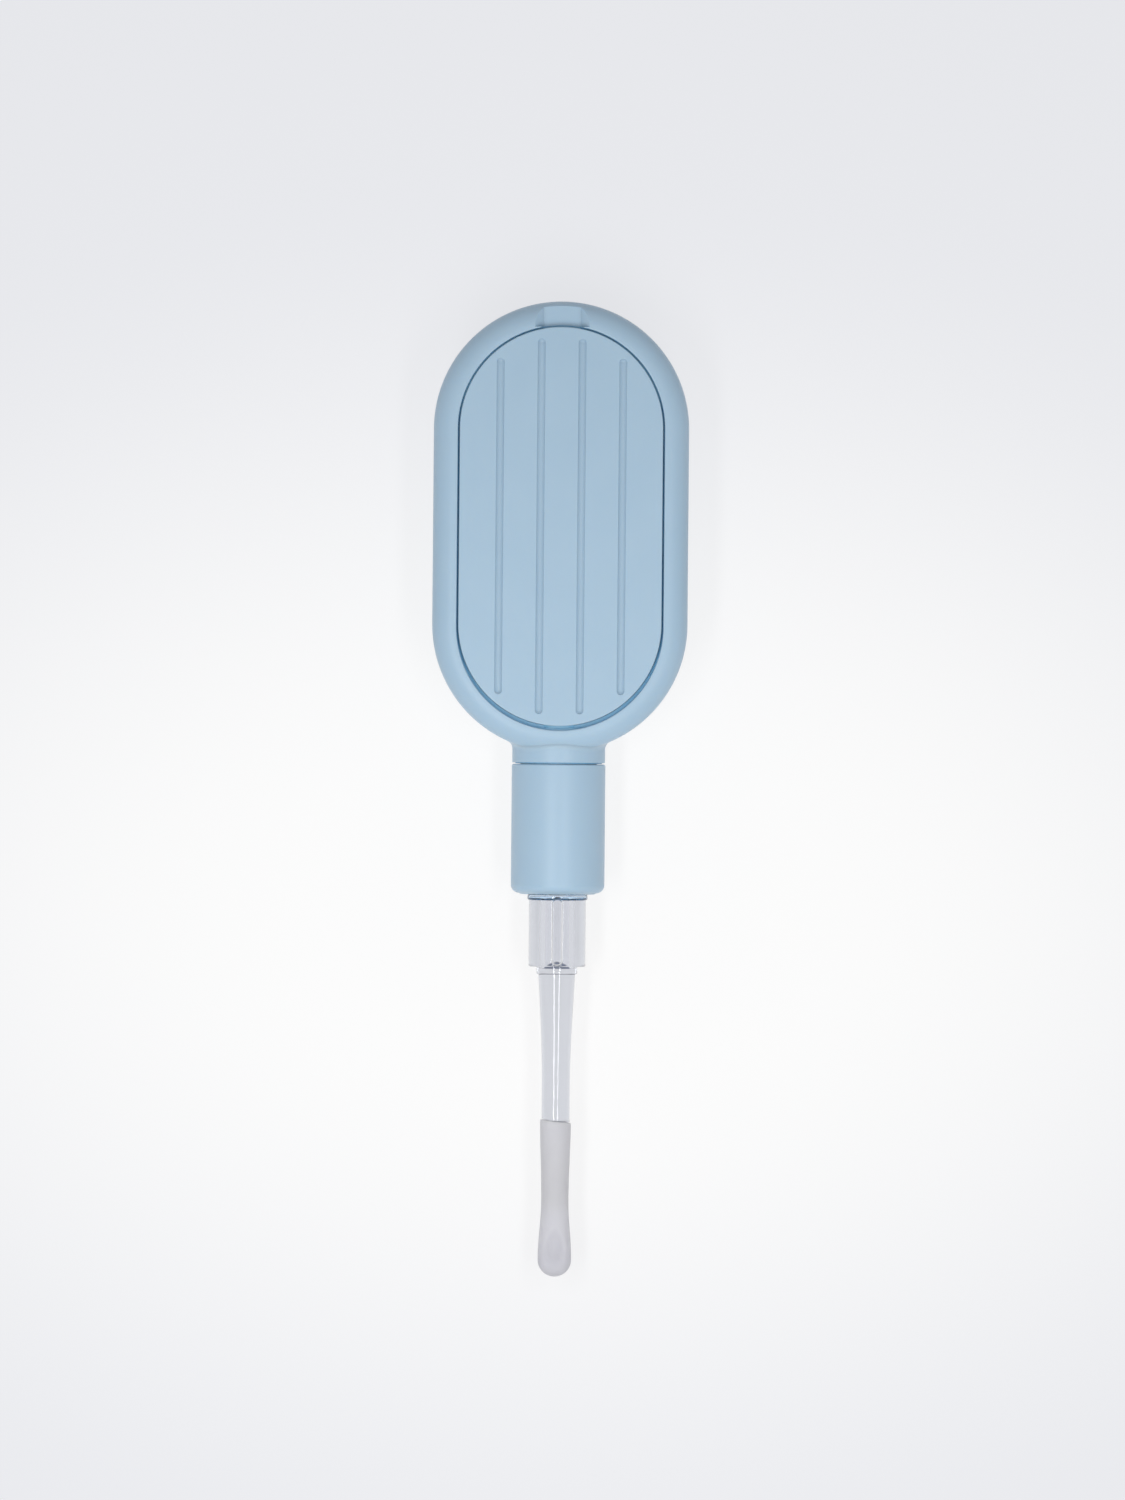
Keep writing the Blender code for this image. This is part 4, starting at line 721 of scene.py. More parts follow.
def moulded_polypropylene():
    """Polypropylene moulded in a spark-eroded tool: an even fine grain that spreads highlights
    wide, a faint mottle where the melt flowed, and a slightly smoother sheen where it is held.
    Shade is painted into the colour where little light reaches: darker in the grip grooves and a
    deep clear blue in the narrow seams, standing in for light off the plastic itself. The grain
    of a real one is about 0.05 mm, too fine to show, so it is drawn coarser."""
    grain = (0.16 * MM, 3.0, EVEN)
    flow = (7.0 * MM, 2.0, EVEN)
    made, tree, place, shader = finish(
        "polypropylene_spark_matt_moulded", tones=(CASE_BLUE_DEEP, CASE_BLUE, flow),
        roughness=(0.38, 0.48, grain), relief=(0.010 * MM, 0.5, grain), IOR=1.49,
        Subsurface_Weight=0.20, Subsurface_Scale=1.0 * MM, Subsurface_Radius=(0.5, 0.75, 1.0),
        Sheen_Weight=0.20, Sheen_Roughness=0.35)
    # Painted shade: where occlusion finds a place closed in, the colour is darkened in grooves and
    # turned deep blue in seams
    openness = add(tree, "ShaderNodeAmbientOcclusion", {"Distance": PAINTED_CAVITY_SHADE_REACH},
                   samples=PAINTED_CAVITY_SHADE_SAMPLES).outputs["AO"]
    colour = feeding(shader, "Base Color")
    for shade, blend, (closed, opened) in ((PAINTED_GROOVE_SHADE, "MULTIPLY", PAINTED_GROOVE_SHADE_RANGE),
                                           (PAINTED_SEAM_SHADE_BLUE, "MIX", PAINTED_SEAM_SHADE_RANGE)):
        share = add(tree, "ShaderNodeMapRange", {"Value": openness, "From Min": closed,
                                                 "From Max": opened, "To Min": 1.0,
                                                 "To Max": 0.0})
        colour = add(tree, "ShaderNodeMix", {"Factor": share, 6: colour, 7: shade},
                     data_type="RGBA", blend_type=blend)
    held = add(tree, "ShaderNodeTexNoise", {"Vector": place, "Scale": 1 / HANDLED_SIZE,
                                            "Detail": 2.0})
    worn = add(tree, "ShaderNodeMapRange", {"Value": held, "From Min": NOISE_LOW,
                                            "From Max": NOISE_HIGH, "To Min": -HANDLED_SPREAD,
                                            "To Max": HANDLED_SPREAD})
    rough = add(tree, "ShaderNodeMath", {0: feeding(shader, "Roughness"), 1: worn},
                operation="ADD")
    put(tree, colour, shader.inputs["Base Color"])
    put(tree, rough, shader.inputs["Roughness"])
    return made


def polished_acrylic():
    """Acrylic moulded in a polished tool: clear and glassy, with the faint long ripple that
    flowing plastic leaves and a cool grey cast, and clearer where a core pin left the bore. The
    key groove's edges carry a painted highlight in rough near-opaque white, the flared mouth a
    painted reflection of the collar's blue, and the wall at the end of the lamp's bore painted
    shade, dull and dark grey-blue."""
    ripple = (1.2 * MM, 2.0, (1.0, 0.2, 1.0))
    made, tree, place, shader = finish(
        "acrylic_clear_polished_moulded", tones=(ACRYLIC_GREY_DEEP, ACRYLIC_GREY, ripple),
        roughness=(0.02, 0.05, ripple), relief=(0.004 * MM, 0.6, ripple), IOR=1.49)
    across, along, height = add(tree, "ShaderNodeSeparateXYZ", {0: place}).outputs
    rise = add(tree, "ShaderNodeMath", {0: height, 1: AXIS_Z}, operation="SUBTRACT")
    reach = add(tree, "ShaderNodeCombineXYZ", {"X": across, "Y": rise})
    away = add(tree, "ShaderNodeVectorMath", {0: reach}, operation="LENGTH")

    # Height above the crest of the bore end's painted shade, which falls off to both sides as a
    # parabola
    sideways = add(tree, "ShaderNodeMath", {0: across, 1: PAINTED_BORE_SHADE_HALF_WIDTH}, operation="DIVIDE")
    squared = add(tree, "ShaderNodeMath", {0: sideways, 1: sideways}, operation="MULTIPLY")
    crest = add(tree, "ShaderNodeMath", {0: squared, 1: -PAINTED_BORE_SHADE_HEIGHT,
                                         2: SOCKET_END_Y - BORE_OVERRUN + PAINTED_BORE_SHADE_HEIGHT},
                operation="MULTIPLY_ADD")
    above = add(tree, "ShaderNodeMath", {0: along, 1: crest}, operation="SUBTRACT")

    # Distance from the key groove's outline, which is straight above and round below, where the
    # painted highlight lies
    drop = add(tree, "ShaderNodeMath", {0: along, 1: KEYWAY_LOW_Y}, operation="SUBTRACT")
    past = add(tree, "ShaderNodeMath", {0: drop, 1: 0.0}, operation="MINIMUM")
    flat = add(tree, "ShaderNodeCombineXYZ", {"X": across, "Y": past})
    span = add(tree, "ShaderNodeVectorMath", {0: flat}, operation="LENGTH")
    off = add(tree, "ShaderNodeMath", {0: span, 1: KEYWAY_WIDTH / 2}, operation="SUBTRACT")
    side = add(tree, "ShaderNodeMath", {0: off}, operation="ABSOLUTE")

    # Each mask rises from 0 to 1 over its fade
    foot = MOUTH_Y - BEAD_LENGTH
    masks = {}
    for label, value, place, (start, full) in (
            ("in_wall", away, POCKET_RADIUS, CAST_WALL_FADE),
            ("in_stem", along, SOCKET_END_Y, CAST_STEM_FADE),
            ("up_bead", along, MOUTH_Y, PAINTED_REFLECTION_FADE),
            ("at_bead", along, foot, PAINTED_REFLECTION_FOOT_FADE),
            ("in_bore", away, LAMP_BORE_RADIUS, PAINTED_BORE_SHADE_OUTER_FADE),
            ("on_wall", away, LAMP_BORE_RADIUS, PAINTED_BORE_SHADE_INNER_FADE),
            ("at_end", along, SOCKET_END_Y, PAINTED_BORE_SHADE_END_FADE),
            ("under_crest", above, 0.0, PAINTED_BORE_SHADE_CREST_FADE),
            ("on_edge", side, 0.0, PAINTED_HIGHLIGHT_EDGE_FADE),
            ("under_bead", along, foot, PAINTED_HIGHLIGHT_TOP_FADE),
            ("in_front", rise, SOCKET_RADIUS, PAINTED_HIGHLIGHT_FRONT_FADE)):
        masks[label] = add(tree, "ShaderNodeMapRange", {"Value": value, "From Min": place + start,
                                                        "From Max": place + full})
    masks["on_edge"].interpolation_type = "SMOOTHSTEP"
    # The mouth mask paints the collar's blue in as a reflection; the others are the bore end's
    # painted shade and the key groove's painted highlight
    for label, *factors in (("mouth", "at_bead", "in_wall"),
                            ("painted_bore_shade", "in_bore", "on_wall", "at_end", "under_crest"),
                            ("painted_highlight", "on_edge", "under_bead", "in_front")):
        share = masks[factors[0]]
        for factor in factors[1:]:
            share = add(tree, "ShaderNodeMath", {0: share, 1: masks[factor]},
                        operation="MULTIPLY")
        masks[label] = share
    cast = add(tree, "ShaderNodeMath", {0: masks["in_wall"], 1: masks["in_stem"]},
               operation="MAXIMUM")
    # Painted reflection of the collar's blue, deeper at the bead's foot
    painted_collar_reflection = add(tree, "ShaderNodeMix", {"Factor": masks["up_bead"], 6: PAINTED_COLLAR_REFLECTION_DEEP,
                                             7: PAINTED_COLLAR_REFLECTION}, data_type="RGBA")
    colour = ACRYLIC_CLEAR
    for share, over in ((cast, feeding(shader, "Base Color")), (masks["mouth"], painted_collar_reflection),
                        (masks["painted_bore_shade"], PAINTED_BORE_END_SHADE), (masks["painted_highlight"], PAINTED_HIGHLIGHT_WHITE)):
        colour = add(tree, "ShaderNodeMix", {"Factor": share, 6: colour, 7: over},
                     data_type="RGBA")
    # The painted highlight is rough, and it and the painted shade at the bore end are nearly opaque
    rough = add(tree, "ShaderNodeMath", {0: masks["painted_highlight"], 1: PAINTED_HIGHLIGHT_ROUGHNESS,
                                         2: feeding(shader, "Roughness")},
                operation="MULTIPLY_ADD")
    opaque = add(tree, "ShaderNodeMath", {0: masks["painted_highlight"], 1: masks["painted_bore_shade"]},
                 operation="MAXIMUM")
    through = add(tree, "ShaderNodeMapRange", {"Value": opaque, "To Min": 1.0,
                                               "To Max": SOLID_TRANSMISSION})
    for name, value in (("Base Color", colour), ("Roughness", rough),
                        ("Transmission Weight", through)):
        put(tree, value, shader.inputs[name])
    return made


def matt_silicone():
    """Silicone rubber moulded matt: soft, a little see-through at its thin edges, painted shade
    that darkens it towards the spoon's end, and a fine dry bloom that kills the shine. The bloom is
    drawn coarser than a real one's 0.03 mm or so, which wouldn't show."""
    bloom = (0.12 * MM, 3.0, EVEN)
    cloud = (3.0 * MM, 2.0, EVEN)
    made, tree, place, shader = finish(
        "silicone_grey_matt_moulded", tones=(SILICONE_GREY_DEEP, SILICONE_GREY, cloud),
        roughness=(0.62, 0.74, bloom), relief=(0.008 * MM, 0.4, bloom), IOR=1.41,
        Subsurface_Weight=1.0, Subsurface_Scale=2.0 * MM, Subsurface_Radius=(1.0, 1.0, 1.0),
        Sheen_Weight=0.15)
    # Painted shade: the colour darkens towards the spoon's end
    along = add(tree, "ShaderNodeSeparateXYZ", {0: place}).outputs["Y"]
    painted_end_share = add(tree, "ShaderNodeMapRange", {"Value": along, "From Min": TIP_Y + PAINTED_END_SHADE_START,
                                                 "From Max": TIP_Y + PAINTED_END_SHADE_FULL})
    painted_end_tone = add(tree, "ShaderNodeMix", {"Factor": painted_end_share, 6: feeding(shader, "Base Color"),
                                        7: SILICONE_PAINTED_END_SHADE}, data_type="RGBA")
    put(tree, painted_end_tone, shader.inputs["Base Color"])
    return made


def white_abs():
    """ABS moulded white: smooth with a satin skin, drawn coarser than its real grain so that it
    shows, and faint sink and flow marks."""
    flow = (2.5 * MM, 2.0, EVEN)
    satin = (0.15 * MM, 2.0, EVEN)
    return finish("abs_white_satin_moulded", tones=("e2e2df", "ebebe8", flow),
                  roughness=(0.30, 0.42, satin), relief=(0.020 * MM, 0.5, flow), IOR=1.54)[0]


def nickel_plate():
    """Steel pressed and nickel plated: a warm grey mirror dulled by fine lay marks."""
    lay = (0.30 * MM, 3.0, (1.0, 12.0, 1.0))
    tarnish = (2.0 * MM, 2.0, EVEN)
    return finish("steel_nickel_plated_pressed", tones=("c6c2b8", "d6d3cb", tarnish),
                  roughness=(0.16, 0.30, lay), relief=(0.003 * MM, 0.5, lay), Metallic=1.0)[0]


def phosphor_bronze():
    """Phosphor bronze strip, rolled: a soft orange sheen with lengthwise rolling lines and
    browner patches of tarnish."""
    lines = (0.80 * MM, 3.0, (10.0, 0.4, 10.0))
    tarnish = (1.5 * MM, 2.0, EVEN)
    return finish("phosphor_bronze_rolled", tones=("b98352", "d3a06c", tarnish),
                  roughness=(0.24, 0.38, lines), relief=(0.003 * MM, 0.5, lines), Metallic=1.0)[0]


def nitrile_rubber():
    """Nitrile rubber ring, moulded and lightly greased: black with a soft broken gloss."""
    grease = (0.50 * MM, 3.0, EVEN)
    return finish("nitrile_rubber_moulded_greased", tones=("18181a", "242427", grease),
                  roughness=(0.35, 0.60, grease), relief=(0.010 * MM, 0.5, grease), IOR=1.52)[0]


def cast_epoxy():
    """Epoxy cast in a polished mould: water clear with a faint ripple."""
    ripple = (0.70 * MM, 2.0, EVEN)
    return finish("epoxy_water_clear_cast", tones=("e8ecef", "f2f5f7", ripple),
                  roughness=(0.01, 0.03, ripple), relief=(0.002 * MM, 0.5, ripple), IOR=1.53,
                  Transmission_Weight=1.0)[0]


def lamp_phosphor():
    """Phosphor gel in the lamp's cup: a pale lemon, grainy and dull when unlit, with the grains
    drawn coarser than real ones so that they show."""
    grains = (0.10 * MM, 3.0, EVEN)
    return finish("phosphor_gel_unlit", tones=("e0cf4a", "efe277", grains),
                  roughness=(0.50, 0.70, grains), relief=(0.010 * MM, 0.5, grains), IOR=1.50)[0]


def neck_corner(angle, share):
    """Point (x, y, rise) on the corner rolled between neck and case, from neck (0) to case (1)."""
    across = (NECK_RADIUS + NECK_FILLET) * math.cos(angle)
    rise = (NECK_RADIUS + NECK_FILLET) * math.sin(angle)
    edge_rise = min(rise, AXIS_Z - CASE_EDGE_RADIUS)
    edge_reach = CASE_RADIUS - CASE_EDGE_RADIUS
    reach = edge_reach + math.sqrt((CASE_EDGE_RADIUS + NECK_FILLET) ** 2 - (rise - edge_rise) ** 2)
    middle = Vector((across, LOWER_CENTRE_Y - math.sqrt(reach ** 2 - across ** 2), rise))
    case_edge = Vector((across, middle.y - LOWER_CENTRE_Y, 0.0)).normalized() * edge_reach
    case_edge += Vector((0.0, LOWER_CENTRE_Y, edge_rise))
    to_neck = Vector((-math.cos(angle), 0.0, -math.sin(angle)))
    return tuple(middle + NECK_FILLET * to_neck.slerp((case_edge - middle).normalized(), share))


def neck_half(name, side):
    """Half of the neck, with its spigot at the collar's seam, and of the block behind it, in
    front of (1) or behind (-1) the parting."""
    angles = [2 * math.pi * index / TURN_STEPS for index in range(TURN_STEPS // 2 + 1)]
    spigot = NECK_RADIUS - SPIGOT_STEP
    profile = [(spigot, COLLAR_REAR_Y + SPIGOT_GAP), (spigot, NECK_END_Y)]
    profile += arc(NECK_RADIUS - SEAM_EDGE, NECK_END_Y + SEAM_EDGE, SEAM_EDGE, -90, 0, FINE_STEPS)
    rows = [[(radius * math.cos(angle), y, radius * math.sin(angle)) for angle in angles]
            for radius, y in profile]
    rows += [[neck_corner(angle, index / CORNER_STEPS) for angle in angles]
             for index in range(CORNER_STEPS + 1)]
    rows.append([(x, BLOCK_END_Y, rise) for x, _, rise in rows[-1]])
    half = loft(name, [[(x, y, AXIS_Z + side * max(PARTING_GAP / 2, rise)) for x, y, rise in row]
                       for row in rows])
    if side > 0:
        lid_space = loft("lid_space", [capsule(0.0, LOWER_CENTRE_Y, UPPER_CENTRE_Y,
                                               CASE_RADIUS - RIM_WIDTH + FIT_CLEARANCE, z,
                                               OPENING_END_STEPS)
                                       for z in (LEDGE_TOP_Z - FIT_CLEARANCE, 2 * CASE_TOP)])
        shape_with(half, "DIFFERENCE", lid_space)
    return half


def barrel_space():
    """Room for the barrel and its flange in the neck."""
    bore = BARREL_RADIUS + SEAT_CLEARANCE
    groove = FLANGE_RADIUS + SEAT_CLEARANCE
    outside = NECK_END_Y - NECK_FILLET
    front = FLANGE_Y - SEAT_CLEARANCE
    rear = BARREL_END_Y + SEAT_CLEARANCE
    space = turned("barrel_space", [(0.0, outside), (bore, outside), (bore, front), (groove, front),
                                    (groove, rear), (0.0, rear)])
    half_key = FLANGE_KEY_WIDTH / 2 + SEAT_CLEARANCE
    key = block("key_space", (BARREL_RADIUS, front, AXIS_Z - half_key),
                (BARREL_HIGH.x + SEAT_CLEARANCE, rear, AXIS_Z + half_key))
    return space, key


def rear_shell(tree, material):
    """Back half of the case: tray with a half-round edge, flat floor and raised lip."""
    parting = AXIS_Z - PARTING_GAP / 2
    lip_inset = (CASE_WALL + LIP_CLEARANCE) / 2
    lip_top = parting + LIP_HEIGHT
    corner = CASE_WALL + FLOOR_CORNER_RADIUS
    section = [(CASE_RADIUS, 0.0)]
    section += arc(CASE_EDGE_RADIUS, CASE_EDGE_RADIUS, CASE_EDGE_RADIUS, 270, 180, 2 * ARC_STEPS)
    section += arc(PARTING_EDGE, parting - PARTING_EDGE, PARTING_EDGE, 180, 90, FINE_STEPS)
    section += [(lip_inset, parting), (lip_inset, lip_top), (CASE_WALL, lip_top)]
    section += arc(corner, corner, FLOOR_CORNER_RADIUS, 180, 270)
    section.append((CASE_RADIUS, CASE_WALL))
    shell = swept_case("rear_shell_moulding", tree, section, False, material)
    half = NECK_RADIUS + NECK_FILLET
    lip_stop = block("lip_stop", (-half, NECK_END_Y, parting),
                     (half, BLOCK_END_Y + FIT_CLEARANCE, lip_top + FIT_CLEARANCE))
    shape_with(shell, "DIFFERENCE", lip_stop)
    shape_with(shell, "UNION", neck_half("rear_neck", -1))
    shape_with(shell, "DIFFERENCE", *barrel_space())
    return dress(shell, material, "handle", ["rear_shell"])


def notch_space():
    """Room for the fingernail: flat floor, sloping sides, open to the outer edge."""
    slope = (NOTCH_TOP_WIDTH - NOTCH_FLOOR_WIDTH) / 2 / NOTCH_DEPTH
    inner = CASE_HIGH.y - RIM_WIDTH - LID_GAP
    outer = CASE_HIGH.y + RIM_WIDTH
    rings = []
    for rise in (0.0, 2 * NOTCH_DEPTH):
        half = NOTCH_FLOOR_WIDTH / 2 + slope * rise
        z = CASE_TOP - NOTCH_DEPTH + rise
        rings.append([(-half, inner, z), (half, inner, z), (half, outer, z), (-half, outer, z)])
    return loft("notch_space", rings)


def front_shell(tree, material):
    """Front half of the case: rounded rim, lid opening with its ledge, notch and half the neck."""
    parting = AXIS_Z + PARTING_GAP / 2
    skirt_inset = (CASE_WALL - LIP_CLEARANCE) / 2
    rebate_top = AXIS_Z - PARTING_GAP / 2 + LIP_HEIGHT + LIP_CLEARANCE
    brace_z = LEDGE_UNDER_Z - (LEDGE_INSET - CASE_WALL) / 2
    section = arc(PARTING_EDGE, parting + PARTING_EDGE, PARTING_EDGE, 270, 180, FINE_STEPS)
    section += arc(CASE_EDGE_RADIUS, CASE_TOP - CASE_EDGE_RADIUS, CASE_EDGE_RADIUS, 180, 90,
                   2 * ARC_STEPS)
    section += arc(RIM_WIDTH - SEAM_FILLET, CASE_TOP - SEAM_FILLET, SEAM_FILLET, 90, 0, EDGE_STEPS)
    section += [(RIM_WIDTH, SEAM_LIP_TOP_Z), (RIM_WIDTH + SEAM_LIP, SEAM_LIP_TOP_Z),
                (RIM_WIDTH + SEAM_LIP, LEDGE_TOP_Z), (LEDGE_INSET, LEDGE_TOP_Z),
                (LEDGE_INSET, LEDGE_UNDER_Z), (CASE_WALL, brace_z), (CASE_WALL, rebate_top),
                (skirt_inset, rebate_top), (skirt_inset, parting)]
    shell = swept_case("front_shell_moulding", tree, section, True, material)
    opening = CASE_RADIUS - RIM_WIDTH + SEAM_FILLET + MERGE_DISTANCE
    lip = CASE_RADIUS - RIM_WIDTH - SEAM_LIP / 2
    for vertex in shell.data.vertices:
        reach = math.hypot(vertex.co.x, vertex.co.y - LOWER_CENTRE_Y)
        at_opening = lip < reach < opening and vertex.co.z > LEDGE_TOP_Z - MERGE_DISTANCE
        if at_opening and vertex.co.y < LOWER_CENTRE_Y:
            vertex.co.y -= HINGE_EXTRA_GAP + SEAM_WIDENING
    shape_with(shell, "UNION", neck_half("front_neck", 1))
    shape_with(shell, "DIFFERENCE", *barrel_space(), notch_space())
    return dress(shell, material, "handle", ["front_shell"])


def groove_cutter(name, across, margin):
    """Cutter for a grip groove with round ends, a rounded floor and a softened edge."""
    radius = GROOVE_WIDTH / 2
    straight = CASE_STRAIGHT / 2 + math.sqrt(LID_RADIUS ** 2 - across ** 2) - margin - radius
    floor = CASE_TOP - GROOVE_DEPTH
    hollow = (radius ** 2 + GROOVE_DEPTH ** 2) / (2 * GROOVE_DEPTH)
    steps = [(MERGE_DISTANCE, floor)]
    for index in range(1, GROOVE_FLOOR_STEPS + 1):
        reach = radius * index / GROOVE_FLOOR_STEPS
        steps.append((reach, floor + hollow - math.sqrt(hollow ** 2 - reach ** 2)))
    steps.append((radius + 2 * MERGE_DISTANCE, CASE_TOP + GROOVE_DEPTH))
    low, high = CASE_MIDDLE_Y - straight, CASE_MIDDLE_Y + straight
    return loft(name, [capsule(0.0, low, high, size, z, GROOVE_END_STEPS) for size, z in steps])


def latch(skirt_end):
    """Curved tab under the far end of the lid, with a rounded snap bead on its outer side."""
    inner = LID_RADIUS - (LEDGE_INSET - LID_INSET) - SKIRT_CLEARANCE - SKIRT_WALL + LATCH_SETBACK
    outer = inner + SKIRT_WALL - 2 * LATCH_SETBACK
    depth = skirt_end - LID_LOW.z
    half_angle = LATCH_LENGTH / 2 / outer
    heights = [(LID_LOW.z, outer)]
    for index in range(LATCH_STEPS // 2 + 1):
        share = 2 * index / LATCH_STEPS
        swell = (LATCH_SETBACK + SNAP_BEAD) * math.sin(math.pi * share) ** 2
        heights.append((LID_LOW.z + depth * (LATCH_BEAD_START + LATCH_BEAD_SPAN * share),
                        outer + swell))
    heights.append((skirt_end + SKIRT_DEPTH / 2, outer))
    rings = []
    for z, reach in heights:
        ring = []
        for radius, way in ((reach, 1), (inner, -1)):
            for index in range(LATCH_STEPS):
                angle = math.pi / 2 + way * half_angle * (2 * index / (LATCH_STEPS - 1) - 1)
                ring.append((radius * math.cos(angle), UPPER_CENTRE_Y + radius * math.sin(angle),
                             z))
        rings.append(ring)
    return loft("latch", rings)


def lid(tree, material):
    """Flush lid: softened edge, locating skirt, latch tab and four grip grooves."""
    skirt_outer = LEDGE_INSET + SKIRT_CLEARANCE
    skirt_inner = skirt_outer + SKIRT_WALL
    skirt_end = LID_UNDER_Z - SKIRT_DEPTH
    section = [(CASE_RADIUS, LID_UNDER_Z), (skirt_inner, LID_UNDER_Z), (skirt_inner, skirt_end),
               (skirt_outer, skirt_end), (skirt_outer, LID_UNDER_Z), (LID_INSET, LID_UNDER_Z)]
    section += arc(LID_INSET + SEAM_FILLET, CASE_TOP - SEAM_FILLET, SEAM_FILLET, 180, 90,
                   EDGE_STEPS)
    section.append((CASE_RADIUS, CASE_TOP))
    panel = swept_case("lid_moulding", tree, section, False, material)
    shape_with(panel, "UNION", latch(skirt_end))
    cutters = [groove_cutter(f"groove_cutter_{share}", share * GROOVE_SPACING / 2, margin)
               for share, margin in GROOVE_MARGINS.items()]
    grow(panel, grip_groove_tree(), **{"Inner cutter": cutters[0], "Outer cutter": cutters[1],
                                       "Spacing": GROOVE_SPACING, "Finish": material})
    for cutter in cutters:
        bpy.data.objects.remove(cutter)
    return dress(panel, material, "lid", ["lid"])


def hinge_strap(material):
    """Thin moulded web across the gap at the neck end, hollow on top."""
    rear = HINGE_GAP / 2 + STRAP_ROOT
    steps = STRAP_HALF_STEPS
    rings = []
    for across in range(-steps, steps + 1):
        x = STRAP_WIDTH / 2 * across / steps
        end_dip = STRAP_END_DIP * abs(across / steps) ** 3
        top, bottom = [], []
        for along in range(-steps, steps + 1):
            share = along / steps
            thickness = STRAP_THIN + (STRAP_THICK - STRAP_THIN) * share ** 2
            z = HINGE_Z - (STRAP_DIP + end_dip) * (1 - share ** 2)
            top.append((x, HINGE_Y + rear * share, z))
            bottom.append((x, HINGE_Y + rear * share, z - thickness))
        rings.append(top + bottom[::-1])
    strap = loft("hinge_strap_web", rings)
    polish(strap, material)
    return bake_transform(strap)


def collar(material):
    """Twist collar: softened rear edge, rounded foot, narrower mouth and stepped bore."""
    groove = BARREL_RADIUS + BEAD_HEIGHT + FIT_CLEARANCE
    groove_half = BEAD_WIDTH / 2 + FIT_CLEARANCE
    slope = groove - COLLAR_BORE_RADIUS
    corner = COLLAR_CORNER_RADIUS
    outside = COLLAR_RADIUS - COLLAR_TRIM
    flat = outside - corner
    rim = MOUTH_RADIUS + MOUTH_CHAMFER
    rear = COLLAR_REAR_Y - NECK_SEAM_WIDENING
    profile = arc(outside - COLLAR_EDGE, rear - COLLAR_EDGE, COLLAR_EDGE, 90, 0, ROUND_STEPS)
    profile += arc(flat, MOUTH_Y + COLLAR_DOME + corner, corner, 0, -90, 2 * ARC_STEPS)
    for share in (0.25, 0.5, 0.75, 1.0):
        drop = COLLAR_DOME * math.sin(share * math.pi / 2)
        profile.append((flat + (rim - flat) * share, MOUTH_Y + COLLAR_DOME - drop))
    profile += arc(rim, MOUTH_Y + MOUTH_CHAMFER, MOUTH_CHAMFER, 270, 180, LIP_STEPS)
    profile += [(MOUTH_RADIUS, MOUTH_STEP_Y), (COLLAR_BORE_RADIUS, MOUTH_STEP_Y),
                (COLLAR_BORE_RADIUS, BEAD_Y - groove_half - slope), (groove, BEAD_Y - groove_half),
                (groove, BEAD_Y + groove_half), (COLLAR_BORE_RADIUS, BEAD_Y + groove_half + slope),
                (COLLAR_BORE_RADIUS, rear)]
    body = turned("collar_moulding", profile, looped=True)
    return dress(body, material, "collar", ["collar"])


def seal_ring(name, node, material, body):
    """Rubber ring of round section in the place of its node."""
    low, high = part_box(node)
    wire = high.y - low.y
    section = arc(high.x - wire / 2, (low.y + high.y) / 2, wire / 2, 0, 360 - 360 / RING_STEPS,
                  RING_STEPS - 1)
    ring = turned(name, section, looped=True)
    return dress(ring, material, body, [node], sharp=ROUND_ANGLE)


def battery_barrel(material):
    """Closed tube fixed in the neck, with its flange, key, snap bead, ring groove and rib."""
    ring_low, ring_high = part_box("collar_o_ring")
    groove = ring_high.x - (ring_high.y - ring_low.y) - RING_SLACK
    slack = SEAT_CLEARANCE / 2
    mouth = BARREL_LOW.y
    edge = MOUTH_CHAMFER / 2
    profile = [(0.0, FLANGE_Y), (BARREL_BORE_RADIUS, FLANGE_Y), (BARREL_BORE_RADIUS, mouth + edge),
               (BARREL_BORE_RADIUS + edge, mouth), (BARREL_RADIUS - edge, mouth),
               (BARREL_RADIUS, mouth + edge),
               (BARREL_RADIUS, BEAD_Y - BEAD_WIDTH / 2 - BEAD_HEIGHT)]
    profile += [(BARREL_RADIUS + BEAD_HEIGHT * math.sin(math.pi * step / BEAD_STEPS),
                 BEAD_Y + (2 * step / BEAD_STEPS - 1) * BEAD_WIDTH / 2)
                for step in range(1, BEAD_STEPS)]
    profile += [(BARREL_RADIUS, BEAD_Y + BEAD_WIDTH / 2 + BEAD_HEIGHT),
                (BARREL_RADIUS, ring_low.y - slack), (groove, ring_low.y - slack),
                (groove, ring_high.y + slack), (BARREL_RADIUS, ring_high.y + slack),
                (BARREL_RADIUS, FLANGE_Y), (FLANGE_RADIUS - edge, FLANGE_Y),
                (FLANGE_RADIUS, FLANGE_Y + edge), (FLANGE_RADIUS, BARREL_END_Y - edge),
                (FLANGE_RADIUS - edge, BARREL_END_Y), (0.0, BARREL_END_Y)]
    barrel = turned("battery_barrel_moulding", profile)
    half = FLANGE_KEY_WIDTH / 2
    inset = (FLANGE_RADIUS - BARREL_RADIUS) / 2
    wall = BARREL_END_Y - FLANGE_Y
    key = block("flange_key", (FLANGE_RADIUS - inset, FLANGE_Y + wall / 8, AXIS_Z - half),
                (BARREL_HIGH.x, BARREL_END_Y - wall / 8, AXIS_Z + half))
    rib_half = KEY_RIB_WIDTH / 2
    rib = block("key_rib", (HOLDER_BORE_RADIUS + FIT_CLEARANCE,
                            HOLDER_HIGH.y - HOLDER_END_WALL, AXIS_Z - rib_half),
                (BARREL_BORE_RADIUS + BARREL_WALL / 2, FLANGE_Y + wall / 2, AXIS_Z + rib_half))
    shape_with(barrel, "UNION", key, rib)
    return dress(barrel, material, "handle", ["battery_barrel"])


